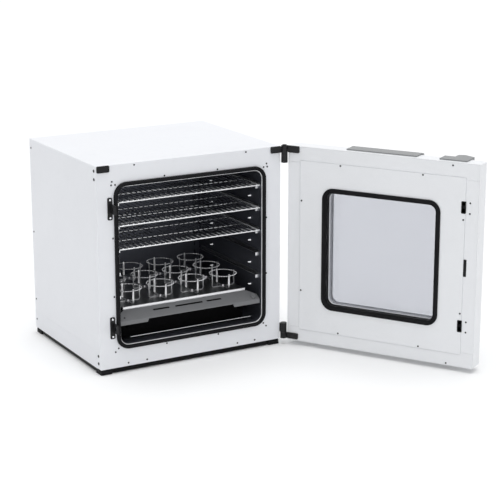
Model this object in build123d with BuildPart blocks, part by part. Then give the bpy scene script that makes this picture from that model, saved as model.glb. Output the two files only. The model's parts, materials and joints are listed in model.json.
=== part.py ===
from build123d import *
import os
from math import atan2, cos, hypot, radians, sin

# Incubated benchtop shaker: a heated cabinet with an orbital shaking platform.
# Millimetres, +Z up. Origin: middle of the cabinet's footprint, on the bench.
# The cabinet's front faces -Y, and the door is hinged at the right, +X.

os.makedirs("parts", exist_ok=True)

# ---------------------------------------------------------------- driving sizes
# Cabinet body
body_width = 640.0
body_depth = 516.0
body_height = 640.0
foot_height = 18.0
sheet = 2.0
edge_round = 1.5
front_return = 24.0
seam = 0.3
skirt_height = 57.0
pan_clearance = 3.0
pan_inset = 6.0
foot_size = 38.0
foot_inset = 2.0

# Mouth of the chamber, its seal and the steel lip inside the seal
mouth_side = 56.0
mouth_head = 56.0
mouth_low = 58.0
mouth_width = body_width - 2 * mouth_side
mouth_height = body_height - mouth_low - mouth_head
mouth_radius = 42.0
mouth_return = 16.0
gasket_width = 12.0
gasket_proud = 9.0
gasket_deep = 4.0
seat_gap = 0.2
lip_width = 1.0
lip_set_back = 1.0
lip_sheet = 1.5
lip_depth = 24.0

# Chamber
chamber_back = 64.0
fan_space = 32.0
baffle_sheet = 1.5
chamber_depth = body_depth - chamber_back
baffle_depth = chamber_depth - fan_space
liner_flange = 11.0

# Shelves and their rails
shelf_head = 50.0
shelf_pitch = 73.6
rail_lowest = 220.0
shelf_front = 1.5
shelf_back = 18.0
shelf_depth = baffle_depth - shelf_front - shelf_back
wire_big = 2.0
wire_fine = 1.5
wire_pitch = 18.0
cross_pitch = 98.0
wire_tip = 0.5
wire_sink = 1.0
rail_width = 12.0
rail_front = 16.5
stud_drop = 48.0
stud_radius = 5.5
stud_length = 9.0
stud_depths = (73.0, 330.0)

# Orbital drive
orbit_radius = 9.5
drive_front = 62.0
drive_back = 25.0
drive_side = 34.0
drive_depth = baffle_depth - drive_front - drive_back
drive_width = mouth_width - 2 * (gasket_width + lip_width) - 2 * (drive_side + sheet)
drive_height = 58.0
base_plate = 3.0
base_plate_front = 45.0
crank_back = 130.0
idler_inset = 85.0
idler_side = 150.0
motor_inset = 95.0
shaft_radius = 10.0
crank_pin_radius = 8.0
idler_radius = 6.0
crank_disc_radius = 24.0
idler_disc_radius = 18.0
disc_thickness = 6.0
running = 0.05
open_pivot = 0.3
pulley_radius = 55.0
motor_pulley_radius = 18.0
pulley_width = 12.0
motor_radius = 34.0
motor_height = 26.0
motor_shaft_radius = 4.0
belt_gap = 0.3
belt_thickness = 2.5
weight_radius = 48.0
weight_thickness = 8.0

# Shaking platform and its flask clamps
platform_side_gap = 11.5
platform_front = 52.0
platform_back = 24.0
platform_depth = baffle_depth - platform_front - platform_back
platform_thickness = 6.0
platform_top = 173.0
platform_bar = 4.0
bar_height = 9.0
carrier_thickness = 8.0
boss_wall = 12.0
clamp_pitch = 114.0
clamp_radius = 40.0
finger_width = 9.0
finger_sheet = 1.5
finger_height = 47.0
clamp_sheet = 2.0
ring_wire = 1.5
ring_height = 43.0
platform_hole_radius = 2.5

# Sloping cover in front of the drive
cover_front = 5.0
cover_low = 144.0
cover_slope = 31.0
cover_length = 45.5
cover_side = 23.0
cover_side_gap = 3.5
cover_top_inset = 27.5
cover_sheet = 1.5
cover_leg = 13.0
cover_notch = 300.0
knob_radius = 8.5
knob_height = 7.0
knob_inset = 19.5
knob_up = 14.0
slot_spans = ((-124.0, -66.0), (-46.0, 52.0), (66.0, 120.0))
slot_rise = 7.0

# Fan, heater and probe behind the baffle
fan_radius = 72.0
fan_blades = 8
fan_height = 322.0
probe_x = 190.0
probe_drop = 29.0
fan_shaft_radius = 3.0
heater_radius = 92.0
heater_wire = 4.0
fan_motor_radius = 30.0
fan_motor_length = 44.0

# Door, drawn shut and then swung open
door_open = 122.0
door_gap = 12.5
door_thickness = 56.0
door_over = 2.0
panel_raise = 1.5
groove_width = 2.0
groove_deep = 1.2
fold_width = 1.0
fold_drop = 6.0
panel_side = 43.0
panel_low = 40.0
panel_head = 43.0
panel_width = body_width - 2 * panel_side
panel_height = body_height - panel_low - panel_head
window_side = 121.0
window_low = 118.0
window_head = 122.0
window_width = body_width - 2 * window_side
window_height = body_height - window_low - window_head
window_radius = 38.0
window_rim = 14.0
window_proud = 4.0
glass = 5.0
pane_depth = 26.0
sleeve_sheet = 1.5
pane_seat = 6.0
outer_rim = 4.0

# Hinges
hinge_side = 11.0
hinge_front = 6.0
hinge_radius = 10.5
hinge_pin_radius = 4.0
arm_sheet = 5.0
arm_length = 37.0
arm_height = 21.0
barrel_length = 32.0
lower_arm_low = 3.0

# Catches on the cabinet, slots and latch in the door
catch_inset = 48.0
plate_shift = 5.0
catch_heights = (506.0, 131.0)
catch_width = 16.0
catch_height = 69.0
catch_sheet = 2.5
tongue_width = 6.0
tongue_height = 28.0
tongue_reach = 18.0
slot_width = 15.0
slot_height = 38.0
slot_wall = 2.5
latch_travel = 8.0
latch_thickness = 4.0
latch_width = 14.0
bolt_height = 9.0
bolt_over = 4.0
bolt_clear = 1.0
latch_clear = 5.0

# Handle and control panel on the door's outer face
handle_inset = 48.0
handle_width = 82.0
hook_extra = 7.0
handle_low = 330.0
handle_sheet = 6.0
hook_sheet = 3.7
hook_over = 41.0
cap_height = 10.0
cap_width = 56.0
cap_out = 42.0
pivot_inset = 56.0
pivot_out = 16.0
grip_length = 44.0
grip_sheet = 8.0
grip_angle = 32.5
grip_barrel = 9.0
panel_x = 8.0
control_width = 243.0
control_height = 102.0
control_thickness = 12.0
lens_width = 150.0
lens_height = 60.0
key_radius = 7.0
key_spacing = 26.0

# Screws
screw_radius = 2.8
screw_height = 1.4
plug_radius = 4.8
plug_height = 1.2
edge_screw_heights = (30.0, 100.0, 330.0)
front_screw_heights = (413.4, 229.3)
door_screw_heights = (467.5, 171.3)
screw_clear = 4.5

# Rear connections
inlet_inset = 120.0
rocker_spacing = 60.0
socket_height = 34.0
vent_inset = 100.0
vent_count = 9

# Power supply
supply_size = (140.0, 100.0, 38.0)
supply_x = 130.0
supply_back = 38.0

# ------------------------------------------------------------ places from sizes
front_y = -body_depth / 2
back_y = body_depth / 2
half = body_width / 2
body_z = foot_height
top_z = foot_height + body_height
inner_half = half - sheet

mouth_z = body_z + mouth_low + mouth_height / 2
chamber_half = mouth_width / 2 - gasket_width - lip_width
chamber_rise = mouth_height / 2 - gasket_width - lip_width
chamber_round = mouth_radius - gasket_width - lip_width
floor_z = mouth_z - chamber_rise
ceiling_z = mouth_z + chamber_rise
liner_back = front_y + chamber_depth
baffle_y = front_y + baffle_depth

shelf_z = ceiling_z - shelf_head
rail_count = int((shelf_z - body_z - rail_lowest) / shelf_pitch) + 1
rail_reach = front_y + rail_front
rail_end = front_y + shelf_front + shelf_depth + wire_big

plate_z = floor_z + base_plate
housing_top = plate_z + drive_height
disc_z = housing_top + 6.0
boss_z = disc_z + disc_thickness + seam
deck_z = body_z + platform_top
carrier_z = deck_z - platform_thickness - carrier_thickness
pin_top = carrier_z - 1.0
belt_z = plate_z + motor_height + 6.0
drive_end = front_y + drive_front + drive_depth
crank_pin = (0.0, front_y + crank_back)
idler_pins = ((-idler_side, drive_end - idler_inset), (idler_side, drive_end - idler_inset))
motor_at = (0.0, drive_end - motor_inset)
crank_axis = (crank_pin[0], crank_pin[1] + orbit_radius)
clamp_y = front_y + platform_front + platform_depth / 2 + 2.0

platform_half = chamber_half - rail_width - orbit_radius - platform_side_gap
ring_centre = hypot(clamp_radius + finger_sheet, finger_width / 2) + ring_wire + running
clamp_reach = ring_centre + ring_wire
clamp_columns = int((2 * platform_half - 2 * clamp_reach) / clamp_pitch) + 1
clamp_rows = int((platform_depth - 2 * clamp_reach) / clamp_pitch) + 1
cover_half = chamber_half - cover_side_gap
knob_x = cover_half - knob_inset
catch_x = -half + catch_inset
plate_x = catch_x - plate_shift
pivot_x = -half + pivot_inset
handle_limits = (-half + handle_inset, -half + handle_inset + handle_width)
inlet_x = -half + inlet_inset
rocker_x = inlet_x + rocker_spacing

inner_face = front_y - door_gap
outer_face = inner_face - door_thickness
door_low = body_z - door_over
door_top = top_z + door_over
window_z = body_z + window_low + window_height / 2
hinge_x = half + hinge_side
hinge_y = front_y - hinge_front
door_axis = Axis((hinge_x, hinge_y, 0), (0, 0, 1))
panel_face = inner_face + panel_raise
latch_y = (inner_face - sheet - seam - latch_thickness, inner_face - sheet - seam)


# ------------------------------------------------------------------ small tools
def block(x, y, z, mode=Mode.ADD):
    """A block between the limits x, y and z, each a pair of low and high."""
    with BuildSketch(Plane.XY.offset(z[0])) as outline:
        with Locations(((x[0] + x[1]) / 2, (y[0] + y[1]) / 2)):
            Rectangle(x[1] - x[0], y[1] - y[0])
    extrude(outline.sketch, amount=z[1] - z[0], mode=mode)


def upright(x, y, z, radius, mode=Mode.ADD):
    """A block with rounded corners as seen from the front."""
    with BuildSketch(Plane.XZ.offset(-y[1])) as outline:
        with Locations(((x[0] + x[1]) / 2, (z[0] + z[1]) / 2)):
            RectangleRounded(x[1] - x[0], z[1] - z[0], radius)
    extrude(outline.sketch, amount=y[1] - y[0], mode=mode)


def ring(centre_z, outer, inner, y):
    """A rounded frame as seen from the front; outer and inner are half sizes and a radius."""
    upright((-outer[0], outer[0]), y, (centre_z - outer[1], centre_z + outer[1]), outer[2])
    upright((-inner[0], inner[0]), y, (centre_z - inner[1], centre_z + inner[1]), inner[2], Mode.SUBTRACT)


def drawn_in(size, inset):
    """Half sizes and a radius, each smaller by the inset."""
    return tuple(value - inset for value in size)


def post(places, z, radius, mode=Mode.ADD):
    """Round posts that stand at the places (x, y)."""
    with BuildSketch(Plane.XY.offset(z[0])) as outline:
        with Locations(*places):
            Circle(radius)
    extrude(outline.sketch, amount=z[1] - z[0], mode=mode)


def bar(places, y, radius, mode=Mode.ADD):
    """Round bars from front to back at the places (x, z)."""
    with BuildSketch(Plane.XZ.offset(-y[1])) as outline:
        with Locations(*places):
            Circle(radius)
    extrude(outline.sketch, amount=y[1] - y[0], mode=mode)


def crossbar(places, x, radius, mode=Mode.ADD):
    """Round bars from left to right at the places (y, z)."""
    with BuildSketch(Plane.YZ.offset(x[0])) as outline:
        with Locations(*places):
            Circle(radius)
    extrude(outline.sketch, amount=x[1] - x[0], mode=mode)


def heads(plane, places, radius=screw_radius, height=screw_height):
    """Screw heads with a hexagon socket, on a plane that faces outwards."""
    with BuildSketch(plane) as outline:
        with Locations(*places):
            Circle(radius)
    extrude(outline.sketch, amount=height)
    with BuildSketch(plane.offset(height)) as sockets:
        with Locations(*places):
            RegularPolygon(radius * 0.45, 6)
    extrude(sockets.sketch, amount=-height * 0.6, mode=Mode.SUBTRACT)


def mirrored(places):
    """The places (x, z) and their mirror images in the middle plane."""
    return [(side * x, z) for x, z in places for side in (-1, 1)]


def save(piece, label):
    """Name a finished piece and write it."""
    piece.part.label = label
    export_step(piece.part, f"parts/{label}.step")


def save_on_door(piece, label):
    """Swing a piece of the door, drawn shut, to the open rest position and write it."""
    swung = piece.part.rotate(door_axis, door_open)
    swung.label = label
    export_step(swung, f"parts/{label}.step")


# ------------------------------------------------------------------ base, casing
foot_x = half - foot_inset - foot_size / 2
foot_y = back_y - foot_inset - foot_size / 2
corners = [(sx * foot_x, sy * foot_y) for sx in (-1, 1) for sy in (-1, 1)]

with BuildPart() as feet:
    with BuildSketch():
        with Locations(*corners):
            RectangleRounded(foot_size, foot_size, foot_size / 5)
    extrude(amount=foot_height)
    chamfer(feet.faces().group_by(Axis.Z)[0].edges(), 1.5)
save(feet, "feet")


def pan_outline(inset):
    """The base pan's outline, drawn in by inset, with its corners cut out round the feet."""
    Rectangle(body_width - 2 * (pan_inset + inset), body_depth - 2 * (pan_inset + inset))
    with Locations(*corners):
        Rectangle(foot_size + 4 + 2 * inset, foot_size + 4 + 2 * inset, mode=Mode.SUBTRACT)
    with Locations(*[(1.1 * x, 1.1 * y) for x, y in corners]):
        Rectangle(foot_size + 4 + 2 * inset, foot_size + 4 + 2 * inset, mode=Mode.SUBTRACT)


with BuildPart() as base_pan:
    with BuildSketch(Plane.XY.offset(pan_clearance)):
        pan_outline(0)
    extrude(amount=foot_height - pan_clearance)
    with BuildSketch(Plane.XY.offset(pan_clearance + sheet)):
        pan_outline(sheet)
    extrude(amount=foot_height, mode=Mode.SUBTRACT)
save(base_pan, "base_pan")

with BuildPart() as front_frame:
    block((-half, half), (front_y, front_y + front_return), (body_z, top_z))
    fillet(front_frame.edges().filter_by(Axis.Y), edge_round * 2)
    fillet(front_frame.faces().sort_by(Axis.Y)[0].edges(), edge_round)
    block(
        (-inner_half, inner_half),
        (front_y + sheet, front_y + front_return),
        (body_z + sheet, top_z - sheet),
        Mode.SUBTRACT,
    )
    upright(
        (-mouth_width / 2 - sheet, mouth_width / 2 + sheet),
        (front_y + sheet / 2, front_y + mouth_return),
        (mouth_z - mouth_height / 2 - sheet, mouth_z + mouth_height / 2 + sheet),
        mouth_radius + sheet,
    )
    upright(
        (-mouth_width / 2, mouth_width / 2),
        (front_y, front_y + mouth_return),
        (mouth_z - mouth_height / 2, mouth_z + mouth_height / 2),
        mouth_radius,
        Mode.SUBTRACT,
    )
save(front_frame, "front_frame")

casing_front = front_y + front_return + seam
casing_back = back_y - sheet
casing_low = body_z + skirt_height + seam

with BuildPart() as outer_casing:
    block((-half, half), (casing_front, casing_back), (casing_low, top_z))
    fillet(outer_casing.edges().filter_by(Axis.Y).group_by(Axis.Z)[-1], edge_round * 2)
    block(
        (-inner_half, inner_half),
        (casing_front, casing_back),
        (casing_low, top_z - sheet),
        Mode.SUBTRACT,
    )
save(outer_casing, "outer_casing")

with BuildPart() as side_skirts:
    for low, high in ((-half, -inner_half), (inner_half, half)):
        block((low, high), (casing_front, casing_back), (body_z, body_z + skirt_height))
save(side_skirts, "side_skirts")

socket_z = socket_height
rocker_axis_y = back_y - 8.0
rocker_radius = 9.6
rocker_length = 14.0
ear = 3.0

with BuildPart() as rear_panel:
    block((-half, half), (back_y - sheet, back_y), (body_z, top_z))
    with BuildSketch(Plane.XZ.offset(-back_y)):
        with Locations((inlet_x, socket_z)):
            Rectangle(28, 21)
        with Locations((rocker_x, socket_z)):
            Rectangle(rocker_length + 1, 16.4)
        with Locations((half - vent_inset, socket_z)):
            with GridLocations(12, 1, vent_count, 1):
                SlotOverall(16, 4, rotation=90)
    extrude(amount=sheet, mode=Mode.SUBTRACT)
    ears = (rocker_length / 2 + 0.5, rocker_length / 2 + 0.5 + ear)
    for side in (-1, 1):
        limits = sorted((rocker_x + side * ears[0], rocker_x + side * ears[1]))
        block(limits, (rocker_axis_y - 5, back_y - sheet), (socket_z - 5, socket_z + 5))
    bore = (rocker_x - ears[1] - 1, rocker_x + ears[1] + 1)
    crossbar([(rocker_axis_y, socket_z)], bore, 2.0 + running, Mode.SUBTRACT)
save(rear_panel, "rear_panel")

with BuildPart() as power_rocker:
    rocker = (rocker_x - rocker_length / 2, rocker_x + rocker_length / 2)
    crossbar([(rocker_axis_y, socket_z)], rocker, rocker_radius)
    hollow = (rocker_x - 5.5, rocker_x + 5.5)
    block(hollow, (back_y + 0.6, back_y + 3), (socket_z - 1.5, socket_z + 5), Mode.SUBTRACT)
    crossbar([(rocker_axis_y, socket_z)], (rocker_x - ears[1], rocker_x + ears[1]), 2.0)
save(power_rocker, "power_rocker")

with BuildPart() as mains_inlet:
    block((inlet_x - 25, inlet_x + 25), (back_y, back_y + 2), (socket_z - 12, socket_z + 12))
    fillet(mains_inlet.edges().filter_by(Axis.Y), 4)
    block((inlet_x - 13.8, inlet_x + 13.8), (back_y - 24, back_y), (socket_z - 10.3, socket_z + 10.3))
    socket = (inlet_x - 12, inlet_x + 12)
    block(socket, (back_y - 18, back_y + 2), (socket_z - 8.5, socket_z + 8.5), Mode.SUBTRACT)
    for px, pz in ((-7.0, -3.5), (7.0, -3.5), (0.0, 3.5)):
        blade = (inlet_x + px - 1, inlet_x + px + 1)
        block(blade, (back_y - 18, back_y - 2), (socket_z + pz - 2.5, socket_z + pz + 2.5))
save(mains_inlet, "mains_inlet")

supply_y = back_y - supply_back - supply_size[1] / 2
supply_low = pan_clearance + sheet

with BuildPart() as power_supply:
    with BuildSketch(Plane.XY.offset(supply_low)):
        with Locations((supply_x, supply_y)):
            Rectangle(supply_size[0], supply_size[1])
    extrude(amount=supply_size[2])
    with BuildSketch(Plane.XY.offset(supply_low + supply_size[2])):
        with Locations((supply_x, supply_y)):
            with GridLocations(10, 40, 11, 2):
                SlotOverall(30, 4, rotation=90)
    extrude(amount=-1.5, mode=Mode.SUBTRACT)
save(power_supply, "power_supply")

# --------------------------------------------------- mouth seal, lip and chamber
mouth_size = (mouth_width / 2, mouth_height / 2, mouth_radius)
chamber_size = (chamber_half, chamber_rise, chamber_round)

with BuildPart() as mouth_gasket:
    ring(
        mouth_z,
        drawn_in(mouth_size, seat_gap),
        drawn_in(mouth_size, gasket_width),
        (front_y - gasket_proud, front_y + gasket_deep),
    )
    fillet(mouth_gasket.faces().sort_by(Axis.Y)[0].edges(), gasket_width / 3)
save(mouth_gasket, "mouth_gasket")

lip_y = front_y - gasket_proud + lip_set_back
lip_size = drawn_in(chamber_size, seat_gap + lip_sheet)

with BuildPart() as mouth_trim:
    ring(mouth_z, drawn_in(mouth_size, gasket_width + seat_gap), lip_size, (lip_y, lip_y + lip_sheet))
    ring(mouth_z, drawn_in(chamber_size, seat_gap), lip_size, (lip_y, lip_y + lip_depth))
save(mouth_trim, "mouth_trim")

liner_front = front_y + gasket_deep + seam

with BuildPart() as chamber_liner:
    upright(
        (-chamber_half - sheet, chamber_half + sheet),
        (liner_front, liner_back + sheet),
        (floor_z - sheet, ceiling_z + sheet),
        chamber_round + sheet,
    )
    upright(
        (-chamber_half - liner_flange, chamber_half + liner_flange),
        (liner_front, liner_front + sheet),
        (floor_z - liner_flange, ceiling_z + liner_flange),
        chamber_round + liner_flange,
    )
    upright(
        (-chamber_half, chamber_half),
        (liner_front, liner_back),
        (floor_z, ceiling_z),
        chamber_round,
        Mode.SUBTRACT,
    )
    shaft_hole = (liner_back - 1, liner_back + sheet + 1)
    bar([(0, body_z + fan_height)], shaft_hole, 2 * fan_shaft_radius, Mode.SUBTRACT)
save(chamber_liner, "chamber_liner")

foam_front = front_y + front_return + 2
foam_low = floor_z - sheet - 37

with BuildPart() as cabinet_insulation:
    block((-inner_half, inner_half), (foam_front, casing_back), (ceiling_z + sheet, top_z - sheet))
    block((-inner_half, inner_half), (foam_front, casing_back), (foam_low, floor_z - sheet))
    for side in (-1, 1):
        limits = sorted((side * (chamber_half + sheet), side * inner_half))
        block(limits, (foam_front, casing_back), (floor_z - sheet, ceiling_z + sheet))
    block(
        (-chamber_half - sheet, chamber_half + sheet),
        (liner_back + sheet, casing_back),
        (floor_z - sheet, ceiling_z + sheet),
    )
    upright(
        (-chamber_half - sheet, chamber_half + sheet),
        (foam_front, liner_back + sheet),
        (floor_z - sheet, ceiling_z + sheet),
        chamber_round + sheet,
        Mode.SUBTRACT,
    )
    bar(
        [(0, body_z + fan_height)],
        (liner_back + sheet - 1, liner_back + sheet + fan_motor_length + 4),
        fan_motor_radius + 8,
        Mode.SUBTRACT,
    )
save(cabinet_insulation, "cabinet_insulation")

# -------------------------------------------------------- shelves and their rails
levels = [shelf_z - i * shelf_pitch for i in range(rail_count)]

with BuildPart() as shelf_rails:
    for level in levels:
        seat = level - wire_big - 0.4
        for side in (-1, 1):
            wall = sorted((side * (chamber_half - sheet), side * chamber_half))
            leg = sorted((side * (chamber_half - rail_width), side * (chamber_half - sheet / 2)))
            block(wall, (rail_reach, rail_end), (seat - sheet, seat + 8))
            block(leg, (rail_reach, rail_end), (seat - sheet, seat))
save(shelf_rails, "shelf_rails")

with BuildPart() as rail_studs:
    for side in (-1, 1):
        with BuildSketch(Plane.YZ.offset(side * chamber_half)):
            with Locations(*[(front_y + d, level - stud_drop) for d in stud_depths for level in levels]):
                Circle(stud_radius)
        extrude(amount=-side * stud_length, taper=18)
save(rail_studs, "rail_studs")

shelf_y = (front_y + shelf_front, front_y + shelf_front + shelf_depth)
side_radius = wire_big + 0.4
side_wire = chamber_half - rail_width / 2
fine_reach = chamber_half - rail_width - 2 * wire_big
fine_count = 2 * int(fine_reach / wire_pitch) + 1
cross_count = int(shelf_depth / cross_pitch) + 1

with BuildPart() as shelf:
    sides = [(-side_wire, shelf_z), (side_wire, shelf_z)]
    bar(sides, (shelf_y[0] - side_radius, shelf_y[1] + side_radius), side_radius)
    cross = [(shelf_y[0] + i * shelf_depth / (cross_count - 1), shelf_z) for i in range(cross_count)]
    crossbar(cross, (-side_wire, side_wire), wire_big)
    fine_z = shelf_z + wire_big + wire_fine - wire_sink
    fine = [((i - fine_count // 2) * wire_pitch, fine_z) for i in range(fine_count)]
    bar(fine, (shelf_y[0] - wire_tip, shelf_y[1] + wire_tip), wire_fine)

for i, label in enumerate(("shelf_upper", "shelf_middle", "shelf_lower")):
    placed = shelf.part.moved(Location((0, 0, -i * shelf_pitch)))
    placed.label = label
    export_step(placed, f"parts/{label}.step")

# ------------------------------------------------------ air baffle, fan and heater
fan_z = body_z + fan_height
baffle_posts = mirrored([(chamber_half - 30, floor_z + 40), (chamber_half - 30, ceiling_z - 40)])

with BuildPart() as air_baffle:
    upright(
        (-chamber_half + 2, chamber_half - 2),
        (baffle_y, baffle_y + baffle_sheet),
        (floor_z + 2, ceiling_z - 2),
        chamber_round - 2,
    )
    bar(baffle_posts, (baffle_y + baffle_sheet / 2, liner_back), 5)
    with BuildSketch(Plane.XZ.offset(-baffle_y)):
        for count, radius in ((1, 0), (8, 16), (14, 30), (20, 44), (26, 58)):
            with Locations((0, fan_z)):
                with PolarLocations(radius, count):
                    Circle(3.5)
        for side in (-1, 1):
            with Locations((side * (chamber_half - 20), fan_z)):
                with GridLocations(1, 40, 1, 9):
                    SlotOverall(26, 7, rotation=90)
    extrude(amount=-baffle_sheet, mode=Mode.SUBTRACT)
save(air_baffle, "air_baffle")

fan_back = liner_back - 6

with BuildPart() as fan_impeller:
    bar([(0, fan_z)], (fan_back - 2, fan_back), fan_radius)
    bar([(0, fan_z)], (fan_back - 18, fan_back), 14)
    with BuildSketch(Plane.XZ.offset(-(fan_back - 1))):
        with Locations((0, fan_z)):
            with PolarLocations((fan_radius + 14) / 2, fan_blades):
                Rectangle(fan_radius - 18, 2, rotation=25)
    extrude(amount=15)
    bar([(0, fan_z)], (fan_back - 1, liner_back + sheet + 18), fan_shaft_radius)
save(fan_impeller, "fan_impeller")

with BuildPart() as fan_motor:
    bar([(0, fan_z)], (liner_back + sheet, liner_back + sheet + 3), fan_motor_radius + 6)
    bar([(0, fan_z)], (liner_back + sheet, liner_back + sheet + fan_motor_length), fan_motor_radius)
    shaft_bore = (liner_back + sheet, liner_back + sheet + 20)
    bar([(0, fan_z)], shaft_bore, fan_shaft_radius + running, Mode.SUBTRACT)
save(fan_motor, "fan_motor")

heater_y = (baffle_y + liner_back) / 2 + 1
heater_angles = [radians(angle) for angle in (90, 210, 330)]
heater_feet = [(heater_radius * cos(a), fan_z + heater_radius * sin(a)) for a in heater_angles]

with BuildPart() as heater_ring:
    with BuildSketch(Plane.XY.offset(fan_z)):
        with Locations((heater_radius, heater_y)):
            Circle(heater_wire)
    revolve(axis=Axis((0, heater_y, fan_z), (0, 1, 0)))
    bar(heater_feet, (heater_y, liner_back), heater_wire * 0.75)
save(heater_ring, "heater_ring")

with BuildPart() as temperature_probe:
    bar([(probe_x, ceiling_z - probe_drop)], (baffle_y - 3, baffle_y), 7)
    bar([(probe_x, ceiling_z - probe_drop)], (baffle_y - 50, baffle_y), 3)
    fillet(temperature_probe.faces().sort_by(Axis.Y)[0].edges(), 2)
save(temperature_probe, "temperature_probe")

# ------------------------------------------------------------------ orbital drive
drive_y = (front_y + drive_front, front_y + drive_front + drive_depth)
drive_half = drive_width / 2
idler_axes = [(x, y + orbit_radius) for x, y in idler_pins]

with BuildPart() as drive_base_plate:
    plate_y = (front_y + base_plate_front, drive_y[1] + 5)
    block((-drive_half - 6, drive_half + 6), plate_y, (floor_z, plate_z))
save(drive_base_plate, "drive_base_plate")

bracket_x = cover_half - 47.5

with BuildPart() as drive_housing:
    block((-drive_half, drive_half), drive_y, (plate_z, housing_top))
    block(
        (-drive_half + sheet, drive_half - sheet),
        (drive_y[0] + sheet, drive_y[1] - sheet),
        (plate_z, housing_top - sheet),
        Mode.SUBTRACT,
    )
    for side in (-1, 1):
        with BuildSketch(Plane.YZ.offset(side * bracket_x)):
            with BuildLine():
                Polyline(
                    (front_y + cover_front + cover_sheet, body_z + cover_low - cover_leg),
                    (drive_y[0] + 1, housing_top - 30),
                    (drive_y[0] + 1, housing_top - 2),
                    (front_y + cover_front + 20, body_z + cover_low - 1),
                    (front_y + cover_front + cover_sheet, body_z + cover_low - 3),
                    close=True,
                )
            make_face()
        extrude(amount=1.5, both=True)
    post([crank_axis], (housing_top - sheet, housing_top), shaft_radius + 8, Mode.SUBTRACT)
    post(idler_axes, (housing_top - sheet, housing_top), idler_radius + 6, Mode.SUBTRACT)
save(drive_housing, "drive_housing")

with BuildPart() as drive_bearings:
    post([crank_axis], (housing_top, housing_top + 4), shaft_radius + 16)
    post([crank_axis], (housing_top - 10, housing_top + 1), shaft_radius + 7.8)
    post([crank_axis], (plate_z, plate_z + 8), shaft_radius + 10)
    post(idler_axes, (housing_top, housing_top + 4), idler_radius + 12)
    post(idler_axes, (housing_top - 20, housing_top + 1), idler_radius + 5.8)
    post([crank_axis], (plate_z, housing_top + 4), shaft_radius + running, Mode.SUBTRACT)
    post(idler_axes, (housing_top - 20, housing_top + 4), idler_radius + running, Mode.SUBTRACT)
save(drive_bearings, "drive_bearings")

with BuildPart() as drive_crank:
    post([crank_axis], (plate_z + seam, disc_z + 1), shaft_radius)
    post([crank_axis], (belt_z, belt_z + pulley_width), pulley_radius)
    post([crank_axis], (disc_z, disc_z + disc_thickness), crank_disc_radius)
    post([crank_pin], (disc_z + disc_thickness - 1, pin_top), crank_pin_radius)
    with BuildSketch(Plane.XY.offset(belt_z - weight_thickness - 4)):
        with Locations(crank_axis):
            Circle(weight_radius)
        with Locations((crank_axis[0], crank_axis[1] - weight_radius)):
            Rectangle(3 * weight_radius, 2 * weight_radius, mode=Mode.SUBTRACT)
        with Locations(crank_axis):
            Circle(shaft_radius + 8)
    extrude(amount=weight_thickness)
save(drive_crank, "drive_crank")

for i, (axis_at, pin_at) in enumerate(zip(idler_axes, idler_pins)):
    with BuildPart() as idler_crank:
        post([axis_at], (housing_top - 20, disc_z + 1), idler_radius)
        post([axis_at], (disc_z, disc_z + disc_thickness), idler_disc_radius)
        post([pin_at], (disc_z + disc_thickness - 1, pin_top), idler_radius)
    save(idler_crank, f"idler_crank_{i + 1}")

with BuildPart() as drive_motor:
    post([motor_at], (plate_z, plate_z + motor_height), motor_radius)
    chamfer(drive_motor.faces().sort_by(Axis.Z)[-1].edges(), 3)
    block((-motor_radius - 6, motor_radius + 6), (motor_at[1] - 8, motor_at[1] + 8), (plate_z, plate_z + 4))
    post([motor_at], (plate_z + 10, plate_z + motor_height), motor_shaft_radius + running, Mode.SUBTRACT)
save(drive_motor, "drive_motor")

with BuildPart() as motor_pulley:
    post([motor_at], (plate_z + 11, belt_z + pulley_width), motor_shaft_radius)
    post([motor_at], (belt_z, belt_z + pulley_width), motor_pulley_radius)
save(motor_pulley, "motor_pulley")


def belt_outline(gap, mode=Mode.ADD):
    """The closed path round both pulleys, this far out from their rims."""
    reach = hypot(crank_axis[0] - motor_at[0], crank_axis[1] - motor_at[1])
    lean = atan2(pulley_radius - motor_pulley_radius, reach)
    straight = sorted((crank_axis[1], motor_at[1]))
    big = pulley_radius + gap
    small = motor_pulley_radius + gap
    rim_big = (big * cos(lean), crank_axis[1] + big * sin(lean))
    rim_small = (small * cos(lean), motor_at[1] + small * sin(lean))
    with BuildLine() as path:
        ThreePointArc(rim_big, (0, straight[0] - big), (-rim_big[0], rim_big[1]))
        Line((-rim_big[0], rim_big[1]), (-rim_small[0], rim_small[1]))
        ThreePointArc((-rim_small[0], rim_small[1]), (0, straight[1] + small), rim_small)
        Line(rim_small, rim_big)
    make_face(path.edges(), mode=mode)


with BuildPart() as drive_belt:
    with BuildSketch(Plane.XY.offset(belt_z + 1)):
        belt_outline(belt_gap + belt_thickness)
        belt_outline(belt_gap, Mode.SUBTRACT)
    extrude(amount=pulley_width - 2)
save(drive_belt, "drive_belt")

# --------------------------------------------------------------- shaking platform
platform_y = (front_y + platform_front, front_y + platform_front + platform_depth)
deck_low = deck_z - platform_thickness
clamps = GridLocations(clamp_pitch, clamp_pitch, clamp_columns, clamp_rows)
clamp_places = [(p.position.X, clamp_y + p.position.Y) for p in clamps.locations]
hole_places = [(sx * clamp_pitch, clamp_y + sy * clamp_pitch / 2) for sx in (-1, 0, 1) for sy in (-1, 1)]

with BuildPart() as platform_plate:
    block((-platform_half, platform_half), platform_y, (deck_low, deck_z))
    fillet(platform_plate.edges().filter_by(Axis.Z).group_by(Axis.Y)[-1], 12)
    post(hole_places, (deck_low, deck_z), platform_hole_radius, Mode.SUBTRACT)
save(platform_plate, "platform_plate")

with BuildPart() as platform_edge:
    edge_y = (platform_y[0] - platform_bar, platform_y[0])
    block((-platform_half, platform_half), edge_y, (deck_z + 2 - bar_height, deck_z + 2))
    fillet(platform_edge.faces().sort_by(Axis.Y)[0].edges(), 1.5)
save(platform_edge, "platform_edge")

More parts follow.
